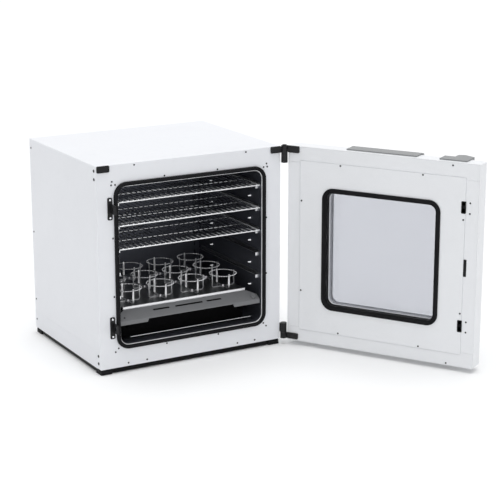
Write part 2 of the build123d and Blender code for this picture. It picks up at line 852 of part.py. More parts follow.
with BuildPart() as platform_carrier:
    carrier_y = (platform_y[0] + 18, platform_y[1] - 20)
    block((-platform_half + 33, platform_half - 33), carrier_y, (carrier_z, deck_low))
    with BuildSketch(Plane.XY.offset(carrier_z)):
        with Locations((0, (crank_pin[1] + idler_pins[0][1]) / 2)):
            with GridLocations(150, 1, 2, 1):
                RectangleRounded(60, 90, 10)
    extrude(amount=carrier_thickness, mode=Mode.SUBTRACT)
    post(hole_places, (carrier_z, deck_low), platform_hole_radius, Mode.SUBTRACT)
    post([crank_pin], (boss_z, carrier_z + 1), crank_pin_radius + boss_wall)
    post(idler_pins, (boss_z, carrier_z + 1), idler_radius + boss_wall)
    post([crank_pin], (boss_z, carrier_z), crank_pin_radius + running, Mode.SUBTRACT)
    post(idler_pins, (boss_z, carrier_z), idler_radius + open_pivot, Mode.SUBTRACT)
save(platform_carrier, "platform_carrier")

with BuildPart() as flask_clamps:
    with BuildSketch(Plane.XY.offset(deck_z)):
        with Locations(*clamp_places):
            Rectangle(2 * clamp_radius, finger_width)
            Rectangle(finger_width, 2 * clamp_radius)
            Circle(12)
    extrude(amount=clamp_sheet)
    with BuildSketch(Plane.XY.offset(deck_z)):
        for angle in (0, 90, 180, 270):
            offset_x = (clamp_radius + finger_sheet / 2) * cos(radians(angle))
            offset_y = (clamp_radius + finger_sheet / 2) * sin(radians(angle))
            with Locations(*[(x + offset_x, y + offset_y) for x, y in clamp_places]):
                Rectangle(finger_sheet, finger_width, rotation=angle)
    extrude(amount=finger_height)
    with BuildSketch(Plane.XY.offset(deck_z + clamp_sheet)):
        with Locations(*clamp_places):
            Circle(5)
            RegularPolygon(2.4, 6, mode=Mode.SUBTRACT)
    extrude(amount=2.5)
save(flask_clamps, "flask_clamps")

with BuildPart() as clamp_ring:
    with BuildSketch(Plane.XZ):
        with Locations((ring_centre, deck_z + ring_height)):
            Circle(ring_wire)
    revolve(axis=Axis.Z)

with BuildPart() as clamp_rings:
    with Locations(*[(x, y, 0) for x, y in clamp_places]):
        add(clamp_ring.part)
save(clamp_rings, "clamp_rings")

# ------------------------------------------------- sloping cover before the drive
cover_plane = Plane(
    origin=(0, front_y + cover_front, body_z + cover_low),
    x_dir=(1, 0, 0),
    z_dir=(0, -sin(radians(cover_slope)), cos(radians(cover_slope))),
)

with BuildPart() as drive_cover:
    with BuildSketch(cover_plane):
        with BuildLine():
            Polyline(
                (-cover_half, 0),
                (cover_half, 0),
                (cover_half, cover_side),
                (cover_half - cover_top_inset, cover_length),
                (-cover_half + cover_top_inset, cover_length),
                (-cover_half, cover_side),
                close=True,
            )
        make_face()
        for low, high in slot_spans:
            with Locations(((low + high) / 2, cover_length - 17)):
                SlotOverall(high - low, slot_rise, mode=Mode.SUBTRACT)
        for side in (-1, 1):
            with Locations((side * knob_x, knob_up)):
                Circle(3 + running, mode=Mode.SUBTRACT)
    extrude(amount=-cover_sheet)
    with BuildSketch(Plane.XZ.offset(-(front_y + cover_front + cover_sheet))):
        with BuildLine():
            Polyline(
                (-cover_half, body_z + cover_low),
                (-cover_half, body_z + cover_low - cover_leg),
                (-cover_notch / 2 - 4, body_z + cover_low - cover_leg),
                (-cover_notch / 2, body_z + cover_low - 3),
                (cover_notch / 2, body_z + cover_low - 3),
                (cover_notch / 2 + 4, body_z + cover_low - cover_leg),
                (cover_half, body_z + cover_low - cover_leg),
                (cover_half, body_z + cover_low),
                close=True,
            )
        make_face()
    extrude(amount=cover_sheet)
save(drive_cover, "drive_cover")

with BuildPart() as cover_knob:
    with BuildSketch(cover_plane.offset(seam)):
        with Locations((knob_x, knob_up)):
            Circle(knob_radius)
    extrude(amount=knob_height, taper=5)
    with BuildSketch(cover_plane.offset(seam + knob_height)):
        with Locations((knob_x, knob_up)):
            SlotOverall(11, 2)
    extrude(amount=-1.5, mode=Mode.SUBTRACT)
    with BuildSketch(cover_plane.offset(seam)):
        with Locations((knob_x, knob_up)):
            Circle(3)
    extrude(amount=-seam - cover_sheet - 2)
save(cover_knob, "cover_knob")

# --------------------------------------- front fittings: catches, plate, screws
with BuildPart() as door_strikes:
    for height in catch_heights:
        z = body_z + height
        upright(
            (plate_x - catch_width / 2, plate_x + catch_width / 2),
            (front_y - catch_sheet, front_y),
            (z - catch_height / 2, z + catch_height / 2),
            4,
        )
        block(
            (catch_x - tongue_width / 2, catch_x + tongue_width / 2),
            (inner_face - tongue_reach, front_y - catch_sheet / 2),
            (z - tongue_height / 2, z + tongue_height / 2),
        )
        block(
            (catch_x - tongue_width, catch_x + tongue_width),
            (latch_y[0] - bolt_clear, latch_y[1] + bolt_clear),
            (z - bolt_height / 2 - bolt_clear, z + bolt_height / 2 + bolt_clear),
            Mode.SUBTRACT,
        )
save(door_strikes, "door_strikes")

arm_z = (top_z - arm_height, top_z)

with BuildPart() as corner_plate:
    upright((-half + 2, -half + 2 + 41), (front_y - arm_sheet, front_y), arm_z, 4)
    fillet(corner_plate.faces().sort_by(Axis.Y)[0].edges(), 1.5)
save(corner_plate, "corner_plate")

strike_ends = (-catch_height * 0.4, catch_height * 0.4)
strike_screws = [(plate_x, body_z + height + end) for height in catch_heights for end in strike_ends]
beside = mouth_width / 2 + screw_clear
above = mouth_low + mouth_height + screw_clear
below = mouth_low - screw_clear - 1.5
corner_in = screw_clear + 6.0
front_screws = mirrored(
    [(beside, height) for height in front_screw_heights]
    + [(193.6, body_height - 7.2), (225.8, 10.5), (161.6, 10.5), (92.0, above), (92.0, below)]
    + [(beside, above), (beside - corner_in, above - corner_in), (beside + 2.5, above - corner_in)]
    + [(beside, below), (beside - corner_in, below + corner_in)]
)
side_plugs = [(14.0, z) for z in (body_height - 16.0, body_height - 42.0, 43.0, 19.0)]
rear_heights = (9.0, body_height / 3, body_height * 2 / 3, body_height - 9.0)
rear_screws = mirrored([(half - 9, z) for z in rear_heights] + [(half / 3, body_height - 9.0)])

with BuildPart() as cabinet_screws:
    heads(Plane.XZ.offset(-front_y), [(x, body_z + z) for x, z in front_screws])
    heads(Plane.XZ.offset(-(front_y - catch_sheet)), strike_screws, 3.4, 1.8)
    for side in (-1, 1):
        plane = Plane(origin=(side * half, 0, 0), x_dir=(0, side, 0), z_dir=(side, 0, 0))
        with BuildSketch(plane) as plugs:
            with Locations(*[(side * (front_y + y), body_z + z) for y, z in side_plugs]):
                Circle(plug_radius)
        extrude(plugs.sketch, amount=plug_height)
        rear_edge = [(side * (back_y - 12), body_z + z) for z in edge_screw_heights + (body_height - 30.0,)]
        heads(plane, rear_edge)
    rear_plane = Plane(origin=(0, back_y, 0), x_dir=(-1, 0, 0), z_dir=(0, 1, 0))
    heads(rear_plane, [(x, body_z + z) for x, z in rear_screws])
save(cabinet_screws, "cabinet_screws")

# ------------------------------------------------------------------------ hinges
hinge_at = (hinge_x, hinge_y)
eye_split = arm_z[0] + arm_height * 0.55
barrel_top = arm_z[0]
lower_arm_z = (body_z + lower_arm_low, body_z + lower_arm_low + 19)
lower_barrel = (lower_arm_z[1] + 2 * seam, lower_arm_z[1] + 2 * seam + barrel_length)

with BuildPart() as cabinet_hinges:
    upright((half - arm_length, half), (front_y - arm_sheet, front_y), arm_z, 3)
    block((half - 8, hinge_x), (front_y - arm_sheet, front_y), (arm_z[0], eye_split))
    post([hinge_at], (barrel_top - barrel_length, eye_split), hinge_radius)
    post([hinge_at], (eye_split - 1, door_top + 1.5), hinge_pin_radius)
    post([hinge_at], (door_top + 2 * seam, door_top + 2.5), 6.5)
    block((half, half + 3), (front_y, front_y + 8), (lower_barrel[0] + 1, lower_barrel[1] - 2))
    post([hinge_at], lower_barrel, hinge_radius)
    post([hinge_at], (lower_arm_z[0] - 1, lower_barrel[0] + 1), hinge_pin_radius)
save(cabinet_hinges, "cabinet_hinges")

door_arm_y = (inner_face, inner_face + arm_sheet)

with BuildPart() as door_hinge_arms:
    upright((half - arm_length - 2, half), door_arm_y, (arm_z[0] + 1, door_top), 3)
    block((half - 8, hinge_x), door_arm_y, (eye_split + seam, door_top))
    post([hinge_at], (eye_split + seam, door_top), hinge_radius)
    upright((half - arm_length - 2, half), door_arm_y, lower_arm_z, 3)
    block((half - 8, hinge_x), door_arm_y, lower_arm_z)
    post([hinge_at], lower_arm_z, hinge_radius)
    post([hinge_at], (lower_arm_z[0], door_top), hinge_pin_radius + running, Mode.SUBTRACT)
save_on_door(door_hinge_arms, "door_hinge_arms")

# -------------------------------------------------------------------------- door
window_half = window_width / 2
window_rise = window_height / 2
window_size = (window_half, window_rise, window_radius)
view = drawn_in(window_size, window_rim)
outer_pane_y = (outer_face + sheet, outer_face + sheet + glass)
inner_pane_y = (inner_face - pane_depth - glass, inner_face - pane_depth)
panel_z = (body_z + panel_low, body_z + panel_low + panel_height)


def window_cut(y, grow):
    """Cut the window's rounded opening through the depth y, this much larger than the view."""
    upright(
        (-view[0] - grow, view[0] + grow),
        y,
        (window_z - view[1] - grow, window_z + view[1] + grow),
        view[2] + grow,
        Mode.SUBTRACT,
    )


with BuildPart() as door_outer_shell:
    block((-half, half), (outer_face, inner_face), (door_low, door_top))
    fillet(door_outer_shell.edges().filter_by(Axis.Y), edge_round * 2)
    fillet(door_outer_shell.faces().sort_by(Axis.Y)[0].edges(), edge_round)
    block(
        (-inner_half, inner_half),
        (outer_face + sheet, inner_face),
        (door_low + sheet, door_top - sheet),
        Mode.SUBTRACT,
    )
    window_cut((outer_face, outer_face + sheet), 0)
save_on_door(door_outer_shell, "door_outer_shell")

slot_places = [(catch_x, body_z + h) for h in catch_heights]
side_slot = (catch_x - 10.0, body_z + 317.0)

sheet_x = inner_half - seat_gap
sheet_z = (door_low + sheet + seat_gap, door_top - sheet - seat_gap)
groove_y = (inner_face - groove_deep, inner_face)

with BuildPart() as door_inner_panel:
    block((-sheet_x, sheet_x), (inner_face - sheet, inner_face), sheet_z)
    upright(
        (-panel_width / 2 - groove_width, panel_width / 2 + groove_width),
        groove_y,
        (panel_z[0] - groove_width, panel_z[1] + groove_width),
        4,
        Mode.SUBTRACT,
    )
    for side in (-1, 1):
        fold_x = sorted((side * panel_width / 2, side * sheet_x))
        for fold_z in (panel_z[0] + fold_drop, panel_z[1] - fold_drop):
            block(fold_x, groove_y, (fold_z - fold_width / 2, fold_z + fold_width / 2), Mode.SUBTRACT)
    upright((-panel_width / 2, panel_width / 2), (inner_face - sheet, panel_face), panel_z, 3)
    window_cut((inner_face - sheet, panel_face), 0)
    upright(
        (-view[0] - sleeve_sheet, view[0] + sleeve_sheet),
        (outer_pane_y[1] + seat_gap, inner_face - sheet / 2),
        (window_z - view[1] - sleeve_sheet, window_z + view[1] + sleeve_sheet),
        view[2] + sleeve_sheet,
    )
    window_cut((outer_pane_y[1] + seat_gap, panel_face), 0)
    with BuildSketch(Plane.XZ.offset(-panel_face)):
        with Locations(*slot_places):
            Rectangle(slot_width - 2, slot_height - 2)
        with Locations(side_slot):
            Rectangle(6, 50)
    extrude(amount=sheet + panel_raise, mode=Mode.SUBTRACT)
save_on_door(door_inner_panel, "door_inner_panel")

with BuildPart() as latch_inserts:
    with BuildSketch(Plane.XZ.offset(-(panel_face + 1))):
        with Locations(*slot_places):
            RectangleRounded(slot_width, slot_height, 3)
    extrude(amount=1)
    with BuildSketch(Plane.XZ.offset(-panel_face)):
        with Locations(*slot_places):
            Rectangle(slot_width - 2.2, slot_height - 2.2)
    extrude(amount=panel_raise + sheet)
    with BuildSketch(Plane.XZ.offset(-(panel_face + 1))):
        with Locations(*slot_places):
            Rectangle(slot_width - 2 * slot_wall, slot_height - 2 * slot_wall)
    extrude(amount=panel_raise + sheet + 1, mode=Mode.SUBTRACT)
    with BuildSketch(Plane.XZ.offset(-(inner_face + 0.8))):
        with Locations(side_slot):
            RectangleRounded(9.6, 54, 2)
    extrude(amount=0.8)
    with BuildSketch(Plane.XZ.offset(-inner_face)):
        with Locations(side_slot):
            Rectangle(5.8, 49.8)
    extrude(amount=sheet)
    with BuildSketch(Plane.XZ.offset(-(inner_face + 0.8))):
        with Locations(side_slot):
            Rectangle(3, 46)
    extrude(amount=0.8, mode=Mode.SUBTRACT)
save_on_door(latch_inserts, "latch_inserts")

latch_z = (body_z + catch_heights[1] - 50, body_z + catch_heights[0] + 50)
latch_left = catch_x + tongue_width / 2 + latch_clear
latch_x = (latch_left, latch_left + latch_width)

with BuildPart() as latch_bar:
    block(latch_x, latch_y, latch_z)
    for height in catch_heights:
        z = body_z + height
        block((catch_x - bolt_over, latch_left + 1), latch_y, (z - bolt_height / 2, z + bolt_height / 2))
save_on_door(latch_bar, "latch_bar")

with BuildPart() as window_gasket:
    ring(window_z, window_size, view, (panel_face, panel_face + window_proud))
    fillet(window_gasket.faces().sort_by(Axis.Y)[-1].edges(), window_proud * 0.45)
save_on_door(window_gasket, "window_gasket")

with BuildPart() as window_panes:
    for grow, y in ((-seat_gap, inner_pane_y), (pane_seat, outer_pane_y)):
        upright(
            (-view[0] - grow, view[0] + grow),
            y,
            (window_z - view[1] - grow, window_z + view[1] + grow),
            view[2] + grow,
        )
save_on_door(window_panes, "window_panes")

with BuildPart() as window_frame_outer:
    ring(window_z, drawn_in(view, -outer_rim), view, (outer_face - 2.5, outer_face))
    fillet(window_frame_outer.faces().sort_by(Axis.Y)[0].edges(), 1)
save_on_door(window_frame_outer, "window_frame_outer")

with BuildPart() as door_insulation:
    foam_y = (outer_face + sheet, inner_face - sheet)
    block((-inner_half, inner_half), foam_y, (door_low + sheet, door_top - sheet))
    window_cut(foam_y, sleeve_sheet + seat_gap)
    window_cut((outer_face + sheet, outer_pane_y[1] + seat_gap), pane_seat + seat_gap)
    block(
        (catch_x - slot_width / 2 - 2, latch_x[1] + latch_travel + 2),
        (inner_face - tongue_reach - 4, inner_face - sheet),
        (latch_z[0] - 2, latch_z[1] + 2),
        Mode.SUBTRACT,
    )
save_on_door(door_insulation, "door_insulation")

panel_edge = panel_width / 2 - 5.0
panel_ends = (panel_low + 5.0, panel_low + panel_height - 4.0)
door_screw_places = [(138.0, z) for z in panel_ends] + [(panel_edge, z) for z in door_screw_heights]
rim_top = body_height - 8.4
rim_screw_places = [(-268.0, panel_ends[1] + 8.5), (-233.0, rim_top), (-231.0, 4.5), (233.0, rim_top)]
insert_rises = (15.0, -18.0)
insert_screw_places = [(catch_x - 20.0, height + rise) for height in catch_heights for rise in insert_rises]

with BuildPart() as door_screws:
    inner_plane = Plane(origin=(0, panel_face, 0), x_dir=(-1, 0, 0), z_dir=(0, 1, 0))
    rim_plane = Plane(origin=(0, inner_face, 0), x_dir=(-1, 0, 0), z_dir=(0, 1, 0))
    heads(inner_plane, [(-x, body_z + z) for x, z in mirrored(door_screw_places)])
    heads(rim_plane, [(-x, body_z + z) for x, z in rim_screw_places + insert_screw_places])
save_on_door(door_screws, "door_screws")

# ------------------------------------------------- handle on the door's outer face
handle_z = (body_z + handle_low, door_top + seam + hook_sheet)
hook_limits = (handle_limits[0], handle_limits[1] + hook_extra)
pivot_y = outer_face - pivot_out
cap_low = handle_z[1] - cap_height
lever_z = (handle_z[0] + 12, cap_low - seam)

with BuildPart() as handle_base:
    upright(handle_limits, (outer_face - handle_sheet, outer_face), handle_z, 3)
    block(hook_limits, (outer_face - handle_sheet, outer_face + hook_over), (door_top + seam, handle_z[1]))
    foot = (handle_z[0] + 4, lever_z[0] - seam)
    block((pivot_x - grip_barrel, pivot_x + grip_barrel), (pivot_y, outer_face - handle_sheet / 2), foot)
    post([(pivot_x, pivot_y)], foot, grip_barrel)
    with BuildSketch(Plane.XY.offset(cap_low)) as cap:
        with BuildLine() as edge:
            Polyline(
                (handle_limits[0], outer_face),
                (handle_limits[0], outer_face - cap_out * 0.55),
                (handle_limits[0] + cap_width - cap_out * 0.45, outer_face - cap_out),
                (handle_limits[0] + cap_width, outer_face - cap_out * 0.8),
                (handle_limits[0] + cap_width, outer_face),
                close=True,
            )
        make_face(edge.edges())
    extrude(cap.sketch, amount=cap_height)
    post([(pivot_x, pivot_y)], (handle_z[0] + 5, cap_low + 1), 4)
save_on_door(handle_base, "handle_base")

with BuildPart() as handle_lever:
    post([(pivot_x, pivot_y)], lever_z, grip_barrel)
    with BuildSketch(Plane.XY.offset(lever_z[0])):
        reach = grip_length / 2
        lean = radians(-grip_angle)
        with Locations((pivot_x + reach * cos(lean), pivot_y + reach * sin(lean))):
            SlotOverall(grip_length + grip_sheet, grip_sheet, rotation=-grip_angle)
    extrude(amount=lever_z[1] - lever_z[0])
    post([(pivot_x, pivot_y)], lever_z, 4 + running, Mode.SUBTRACT)
save_on_door(handle_lever, "handle_lever")

# ----------------------------------------------- control panel on the door's front
control_limits = (panel_x - control_width / 2, panel_x + control_width / 2)
control_front = outer_face - control_thickness
control_z = (door_top - control_height, door_top + seam + hook_sheet)
lens_z = (control_z[0] + control_z[1]) / 2 - 2
key_x = panel_x + lens_width / 2 + 24
key_places = [(key_x, lens_z + key_spacing / 2), (key_x, lens_z - key_spacing / 2)]

with BuildPart() as control_housing:
    upright(control_limits, (control_front, outer_face), control_z, 4)
    fillet(control_housing.faces().sort_by(Axis.Y)[0].edges(), 2)
    block(
        (control_limits[0] + 2, control_limits[1] - 2),
        (control_front + 6, outer_face),
        (control_z[0] + 3, door_top - 6),
        Mode.SUBTRACT,
    )
    hook_x = (control_limits[0] + 4, control_limits[1] - 4)
    block(hook_x, (outer_face - 2, outer_face + hook_over), (door_top + seam, control_z[1]))
    upright(
        (panel_x - lens_width / 2 - seat_gap, panel_x + lens_width / 2 + seat_gap),
        (control_front, control_front + 2),
        (lens_z - lens_height / 2 - seat_gap, lens_z + lens_height / 2 + seat_gap),
        4 + seat_gap,
        Mode.SUBTRACT,
    )
    bar(key_places, (control_front, control_front + 6), key_radius + 0.3, Mode.SUBTRACT)
save_on_door(control_housing, "control_housing")

with BuildPart() as display_lens:
    upright(
        (panel_x - lens_width / 2, panel_x + lens_width / 2),
        (control_front + 0.2, control_front + 2),
        (lens_z - lens_height / 2, lens_z + lens_height / 2),
        4,
    )
save_on_door(display_lens, "display_lens")

with BuildPart() as control_board:
    board_x = (control_limits[0] + 8, control_limits[1] - 8)
    block(board_x, (outer_face - 3, outer_face - 1.4), (control_z[0] + 8, door_top - 10))
    for low in (control_limits[0] + 30, control_limits[1] - 50):
        block((low, low + 20), (outer_face - 1.4, outer_face), (control_z[0] + 20, control_z[0] + 40))
save_on_door(control_board, "control_board")

for i, place in enumerate(key_places):
    with BuildPart() as key:
        bar([place], (control_front - 2.5, control_front + 5), key_radius)
        fillet(key.faces().sort_by(Axis.Y)[0].edges(), 1)
        bar([place], (control_front + 5, outer_face - 3 - 1.8), 2)
    save_on_door(key, f"key_{i + 1}")
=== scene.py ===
"""Looks of an incubated benchtop shaker: finishes, fine pieces, studio and camera round its frame."""

from __future__ import annotations

import json
import logging
import math
from contextlib import contextmanager
from dataclasses import dataclass
from enum import Enum
from typing import Any, Iterable, Iterator, Mapping, Sequence

import bmesh
import bpy
from mathutils import Matrix, Vector

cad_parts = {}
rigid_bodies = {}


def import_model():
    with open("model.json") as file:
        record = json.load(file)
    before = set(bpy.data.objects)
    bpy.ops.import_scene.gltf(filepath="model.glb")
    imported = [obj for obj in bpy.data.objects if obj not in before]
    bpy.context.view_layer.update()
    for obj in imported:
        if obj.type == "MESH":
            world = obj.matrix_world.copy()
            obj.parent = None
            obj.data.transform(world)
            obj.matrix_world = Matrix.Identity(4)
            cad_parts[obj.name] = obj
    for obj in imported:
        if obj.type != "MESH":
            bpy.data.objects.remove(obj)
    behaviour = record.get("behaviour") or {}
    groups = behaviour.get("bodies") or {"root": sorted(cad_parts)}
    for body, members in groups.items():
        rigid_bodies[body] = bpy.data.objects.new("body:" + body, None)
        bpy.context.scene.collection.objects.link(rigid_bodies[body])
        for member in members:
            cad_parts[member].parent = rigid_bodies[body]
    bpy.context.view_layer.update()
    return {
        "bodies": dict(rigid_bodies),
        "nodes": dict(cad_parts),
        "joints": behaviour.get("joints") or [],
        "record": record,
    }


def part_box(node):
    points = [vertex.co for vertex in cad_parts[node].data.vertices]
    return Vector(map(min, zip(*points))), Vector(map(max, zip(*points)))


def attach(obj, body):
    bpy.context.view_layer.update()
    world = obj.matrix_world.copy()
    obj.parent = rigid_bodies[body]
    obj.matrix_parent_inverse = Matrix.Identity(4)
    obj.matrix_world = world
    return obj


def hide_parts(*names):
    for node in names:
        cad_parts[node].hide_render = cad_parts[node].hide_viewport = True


LOG = logging.getLogger("shaker")
MM = 0.001
SIDES = (-1, 1)
Pair = tuple[float, float]
Point = tuple[float, float, float]
Colour = tuple[float, float, float]
Place = tuple[Point, Point]


# ----------------------------------------------------------------- node graphs
class Wire:
    """A node's output that takes part in arithmetic; each operation adds a Math node."""

    def __init__(self, graph: "Graph", socket: bpy.types.NodeSocket) -> None:
        """Keep the graph and the socket."""
        self.graph = graph
        self.socket = socket

    def other(self, output: str) -> "Wire":
        """Another output of the same node."""
        return Wire(self.graph, self.socket.node.outputs[output])

    def _math(self, operation: str, first: Any, second: Any) -> "Wire":
        """The result of a Math node on two numbers or wires."""
        return self.graph.add("ShaderNodeMath", {"operation": operation}, {0: first, 1: second})

    def __add__(self, other: Any) -> "Wire":
        """Sum."""
        return self._math("ADD", self, other)

    def __radd__(self, other: Any) -> "Wire":
        """Sum, reflected."""
        return self._math("ADD", other, self)

    def __mul__(self, other: Any) -> "Wire":
        """Product."""
        return self._math("MULTIPLY", self, other)

    def __rmul__(self, other: Any) -> "Wire":
        """Product, reflected."""
        return self._math("MULTIPLY", other, self)


class Graph:
    """A node tree of any kind, built node by node."""

    def __init__(self, tree: bpy.types.NodeTree) -> None:
        """Empty the tree and keep it."""
        self.tree = tree
        tree.nodes.clear()

    def add(self, kind: str, settings: Mapping[str, Any] | None = None,
            inputs: Mapping[Any, Any] | None = None, result: Any = 0) -> Wire:
        """Add a node.

        Args:
            kind: the node's type.
            settings: attributes that are set first; "stops" places a ramp's black and white ends.
            inputs: values or wires by socket name or number.
            result: name or number of the output that is wanted.

        Returns:
            The wanted output.
        """
        node = self.tree.nodes.new(kind)
        for key, value in (settings or {}).items():
            if key == "stops":
                for end, place in zip(node.color_ramp.elements, value):
                    end.position = place
            else:
                setattr(node, key, value)
        for key, value in (inputs or {}).items():
            if isinstance(value, Wire):
                self.tree.links.new(value.socket, node.inputs[key])
            else:
                node.inputs[key].default_value = value
        return Wire(self, node.outputs[result])

    def end(self, kind: str, last: Wire) -> None:
        """Lead the last wire into an output node."""
        self.tree.links.new(last.socket, self.tree.nodes.new(kind).inputs[0])


class Shader(Graph):
    """One material's graph."""

    def __init__(self, name: str) -> None:
        """Make an empty material.

        Args:
            name: the material's name.
        """
        self.material = bpy.data.materials.new(name)
        self.material.use_nodes = True
        super().__init__(self.material.node_tree)

    def place(self, stretch: Point = (1.0, 1.0, 1.0)) -> Wire:
        """Object coordinates, stretched along each axis."""
        where = self.add("ShaderNodeTexCoord", result="Object")
        return self.add("ShaderNodeMapping", {}, {"Vector": where, "Scale": stretch})

    def noise(self, cells: float, octaves: float, stretch: Point = (1.0, 1.0, 1.0)) -> Wire:
        """Noise over the object, from zero to one, with its cells counted per metre."""
        inputs = {"Vector": self.place(stretch), "Scale": cells, "Detail": octaves}
        return self.add("ShaderNodeTexNoise", {}, inputs, "Fac")

    def grid(self, cells: float, **settings: str) -> Wire:
        """Distance from the middle of the nearest cell, with the cells counted per metre."""
        inputs = {"Vector": self.place(), "Scale": cells}
        return self.add("ShaderNodeTexVoronoi", settings, inputs, "Distance")

    def ramp(self, value: Wire, low: float, high: float) -> Wire:
        """A value that rises from zero at the low level to one at the high level."""
        return self.add("ShaderNodeValToRGB", {"stops": (low, high)}, {"Fac": value})

    def blend(self, share: Wire, low: Colour, high: Colour) -> Wire:
        """A colour between two, where the share says how much of the second."""
        inputs = {0: share, 6: (*low, 1.0), 7: (*high, 1.0)}
        return self.add("ShaderNodeMix", {"data_type": "RGBA"}, inputs, 2)

    def bump(self, height: Wire, depth: float, strength: float) -> Wire:
        """The normal, bent by a relief that is so many metres deep."""
        inputs = {"Height": height, "Distance": depth, "Strength": strength}
        return self.add("ShaderNodeBump", {}, inputs)

    def surface(self, inputs: Mapping[str, Any]) -> bpy.types.Material:
        """Close the graph with a Principled shader that has these inputs."""
        self.end("ShaderNodeOutputMaterial", self.add("ShaderNodeBsdfPrincipled", {}, inputs))
        return self.material


# ------------------------------------------------------------------- finishes
class Grain(Enum):
    """Direction in which a metal was brushed, as cells along each axis."""

    ALONG_X = (2.0, 260.0, 260.0)
    ALONG_Y = (260.0, 2.0, 260.0)
    ALONG_Z = (260.0, 260.0, 2.0)
    TURNED = (90.0, 90.0, 420.0)


@dataclass(frozen=True)
class Finish:
    """What every finish has: a name, a main colour and a look of its own."""

    name: str
    colour: Colour

    def toned(self, factor: float, lift: float = 0.0) -> Colour:
        """The main colour, made darker or paler."""
        return tuple(min(1.0, c * factor + lift) for c in self.colour)

    def look(self, shader: Shader) -> dict[str, Any]:
        """The values and wires of the Principled shader's inputs."""
        raise NotImplementedError

    def material(self) -> bpy.types.Material:
        """The finished material."""
        shader = Shader(self.name)
        return shader.surface(self.look(shader))


@dataclass(frozen=True)
class PowderCoat(Finish):
    """Sprayed and baked paint with a faint orange peel."""

    roughness: float = 0.38
    peel: float = 0.05
    mottle: float = 0.03
    sheen: float = 0.45

    def look(self, shader: Shader) -> dict[str, Any]:
        """Soft clouds of tone, a little grime and the peel's bumps.

        Args:
            shader: the material's graph.

        Returns:
            The values and wires of the Principled shader's inputs.
        """
        cloud = shader.noise(cells=5.0, octaves=4.0)
        grime = shader.ramp(shader.noise(cells=38.0, octaves=5.0), low=0.52, high=0.8)
        peel = shader.noise(cells=420.0, octaves=2.0)
        dark = self.toned(1.0 - 1.6 * self.mottle)
        return {
            "Base Color": shader.blend(cloud * 0.9 + grime * 0.25, self.colour, dark),
            "Roughness": self.roughness + cloud * 0.08 + grime * 0.05,
            "Normal": shader.bump(peel, depth=0.0004, strength=self.peel),
            "Specular IOR Level": self.sheen,
        }


@dataclass(frozen=True)
class BrushedMetal(Finish):
    """Bare metal with brushing lines and faint smears."""

    grain: Grain
    roughness: float = 0.28
    metallic: float = 1.0
    depth: float = 0.25

    def look(self, shader: Shader) -> dict[str, Any]:
        """Long lines along the grain, and smears.

        Args:
            shader: the material's graph.

        Returns:
            The values and wires of the Principled shader's inputs.
        """
        lines = shader.noise(cells=3.0, octaves=4.0, stretch=self.grain.value)
        smear = shader.noise(cells=16.0, octaves=4.0)
        return {
            "Base Color": shader.blend(lines * 0.6 + smear * 0.3, self.colour, self.toned(0.8)),
            "Metallic": self.metallic,
            "Roughness": self.roughness + lines * 0.12 + smear * 0.1,
            "Normal": shader.bump(lines, depth=0.0002, strength=self.depth),
        }


@dataclass(frozen=True)
class BrightWire(Finish):
    """Polished, plated wire, lip or screw; on the bright wire and the lip, a near-white colour with little
    metal paints their highlight.
    """

    roughness: float = 0.16
    metallic: float = 1.0

    def look(self, shader: Shader) -> dict[str, Any]:
        """Patches of duller plating and fine scratches.

        Args:
            shader: the material's graph.

        Returns:
            The values and wires of the Principled shader's inputs.
        """
        patch = shader.noise(cells=60.0, octaves=4.0)
        scratch = shader.noise(cells=900.0, octaves=2.0)
        return {
            "Base Color": shader.blend(patch * 0.5, self.colour, self.toned(0.82)),
            "Metallic": self.metallic,
            "Roughness": self.roughness + patch * 0.14,
            "Normal": shader.bump(scratch, depth=0.0001, strength=0.15),
        }


@dataclass(frozen=True)
class Rubber(Finish):
    """Extruded rubber with a dusty bloom."""

    roughness: float = 0.5
    sheen: float = 0.12

    def look(self, shader: Shader) -> dict[str, Any]:
        """Pale bloom over a finely pitted skin.

        Args:
            shader: the material's graph.

        Returns:
            The values and wires of the Principled shader's inputs.
        """
        bloom = shader.ramp(shader.noise(cells=24.0, octaves=5.0), low=0.4, high=0.75)
        skin = shader.noise(cells=1100.0, octaves=2.0)
        return {
            "Base Color": shader.blend(bloom * 0.6, self.colour, self.toned(1.9, 0.004)),
            "Roughness": self.roughness + bloom * 0.15,
            "Normal": shader.bump(skin, depth=0.0002, strength=0.3),
            "Specular IOR Level": self.sheen,
        }


@dataclass(frozen=True)
class Moulding(Finish):
    """Moulded plastic with a fine spark-eroded grain."""

    roughness: float = 0.45
    grain: float = 0.25
    sheen: float = 0.5

    def look(self, shader: Shader) -> dict[str, Any]:
        """Fine pits and slow changes of tone.

        Args:
            shader: the material's graph.

        Returns:
            The values and wires of the Principled shader's inputs.
        """
        pits = shader.grid(cells=1500.0, feature="SMOOTH_F1")
        cloud = shader.noise(cells=9.0, octaves=3.0)
        return {
            "Base Color": shader.blend(cloud * 0.7, self.colour, self.toned(0.9)),
            "Roughness": self.roughness + cloud * 0.08,
            "Normal": shader.bump(pits, depth=0.00015, strength=self.grain),
            "Specular IOR Level": self.sheen,
        }


@dataclass(frozen=True)
class Pane(Finish):
    """Clear sheet glass with the faintest smears."""

    roughness: float = 0.015

    def look(self, shader: Shader) -> dict[str, Any]:
        """Smears that dull the surface a little.

        Args:
            shader: the material's graph.

        Returns:
            The values and wires of the Principled shader's inputs.
        """
        smear = shader.ramp(shader.noise(cells=9.0, octaves=5.0), low=0.45, high=0.8)
        return {
            "Base Color": shader.blend(smear * 0.4, self.colour, self.toned(0.97)),
            "Roughness": self.roughness + smear * 0.03,
            "Transmission Weight": 1.0,
            "IOR": 1.45,
        }


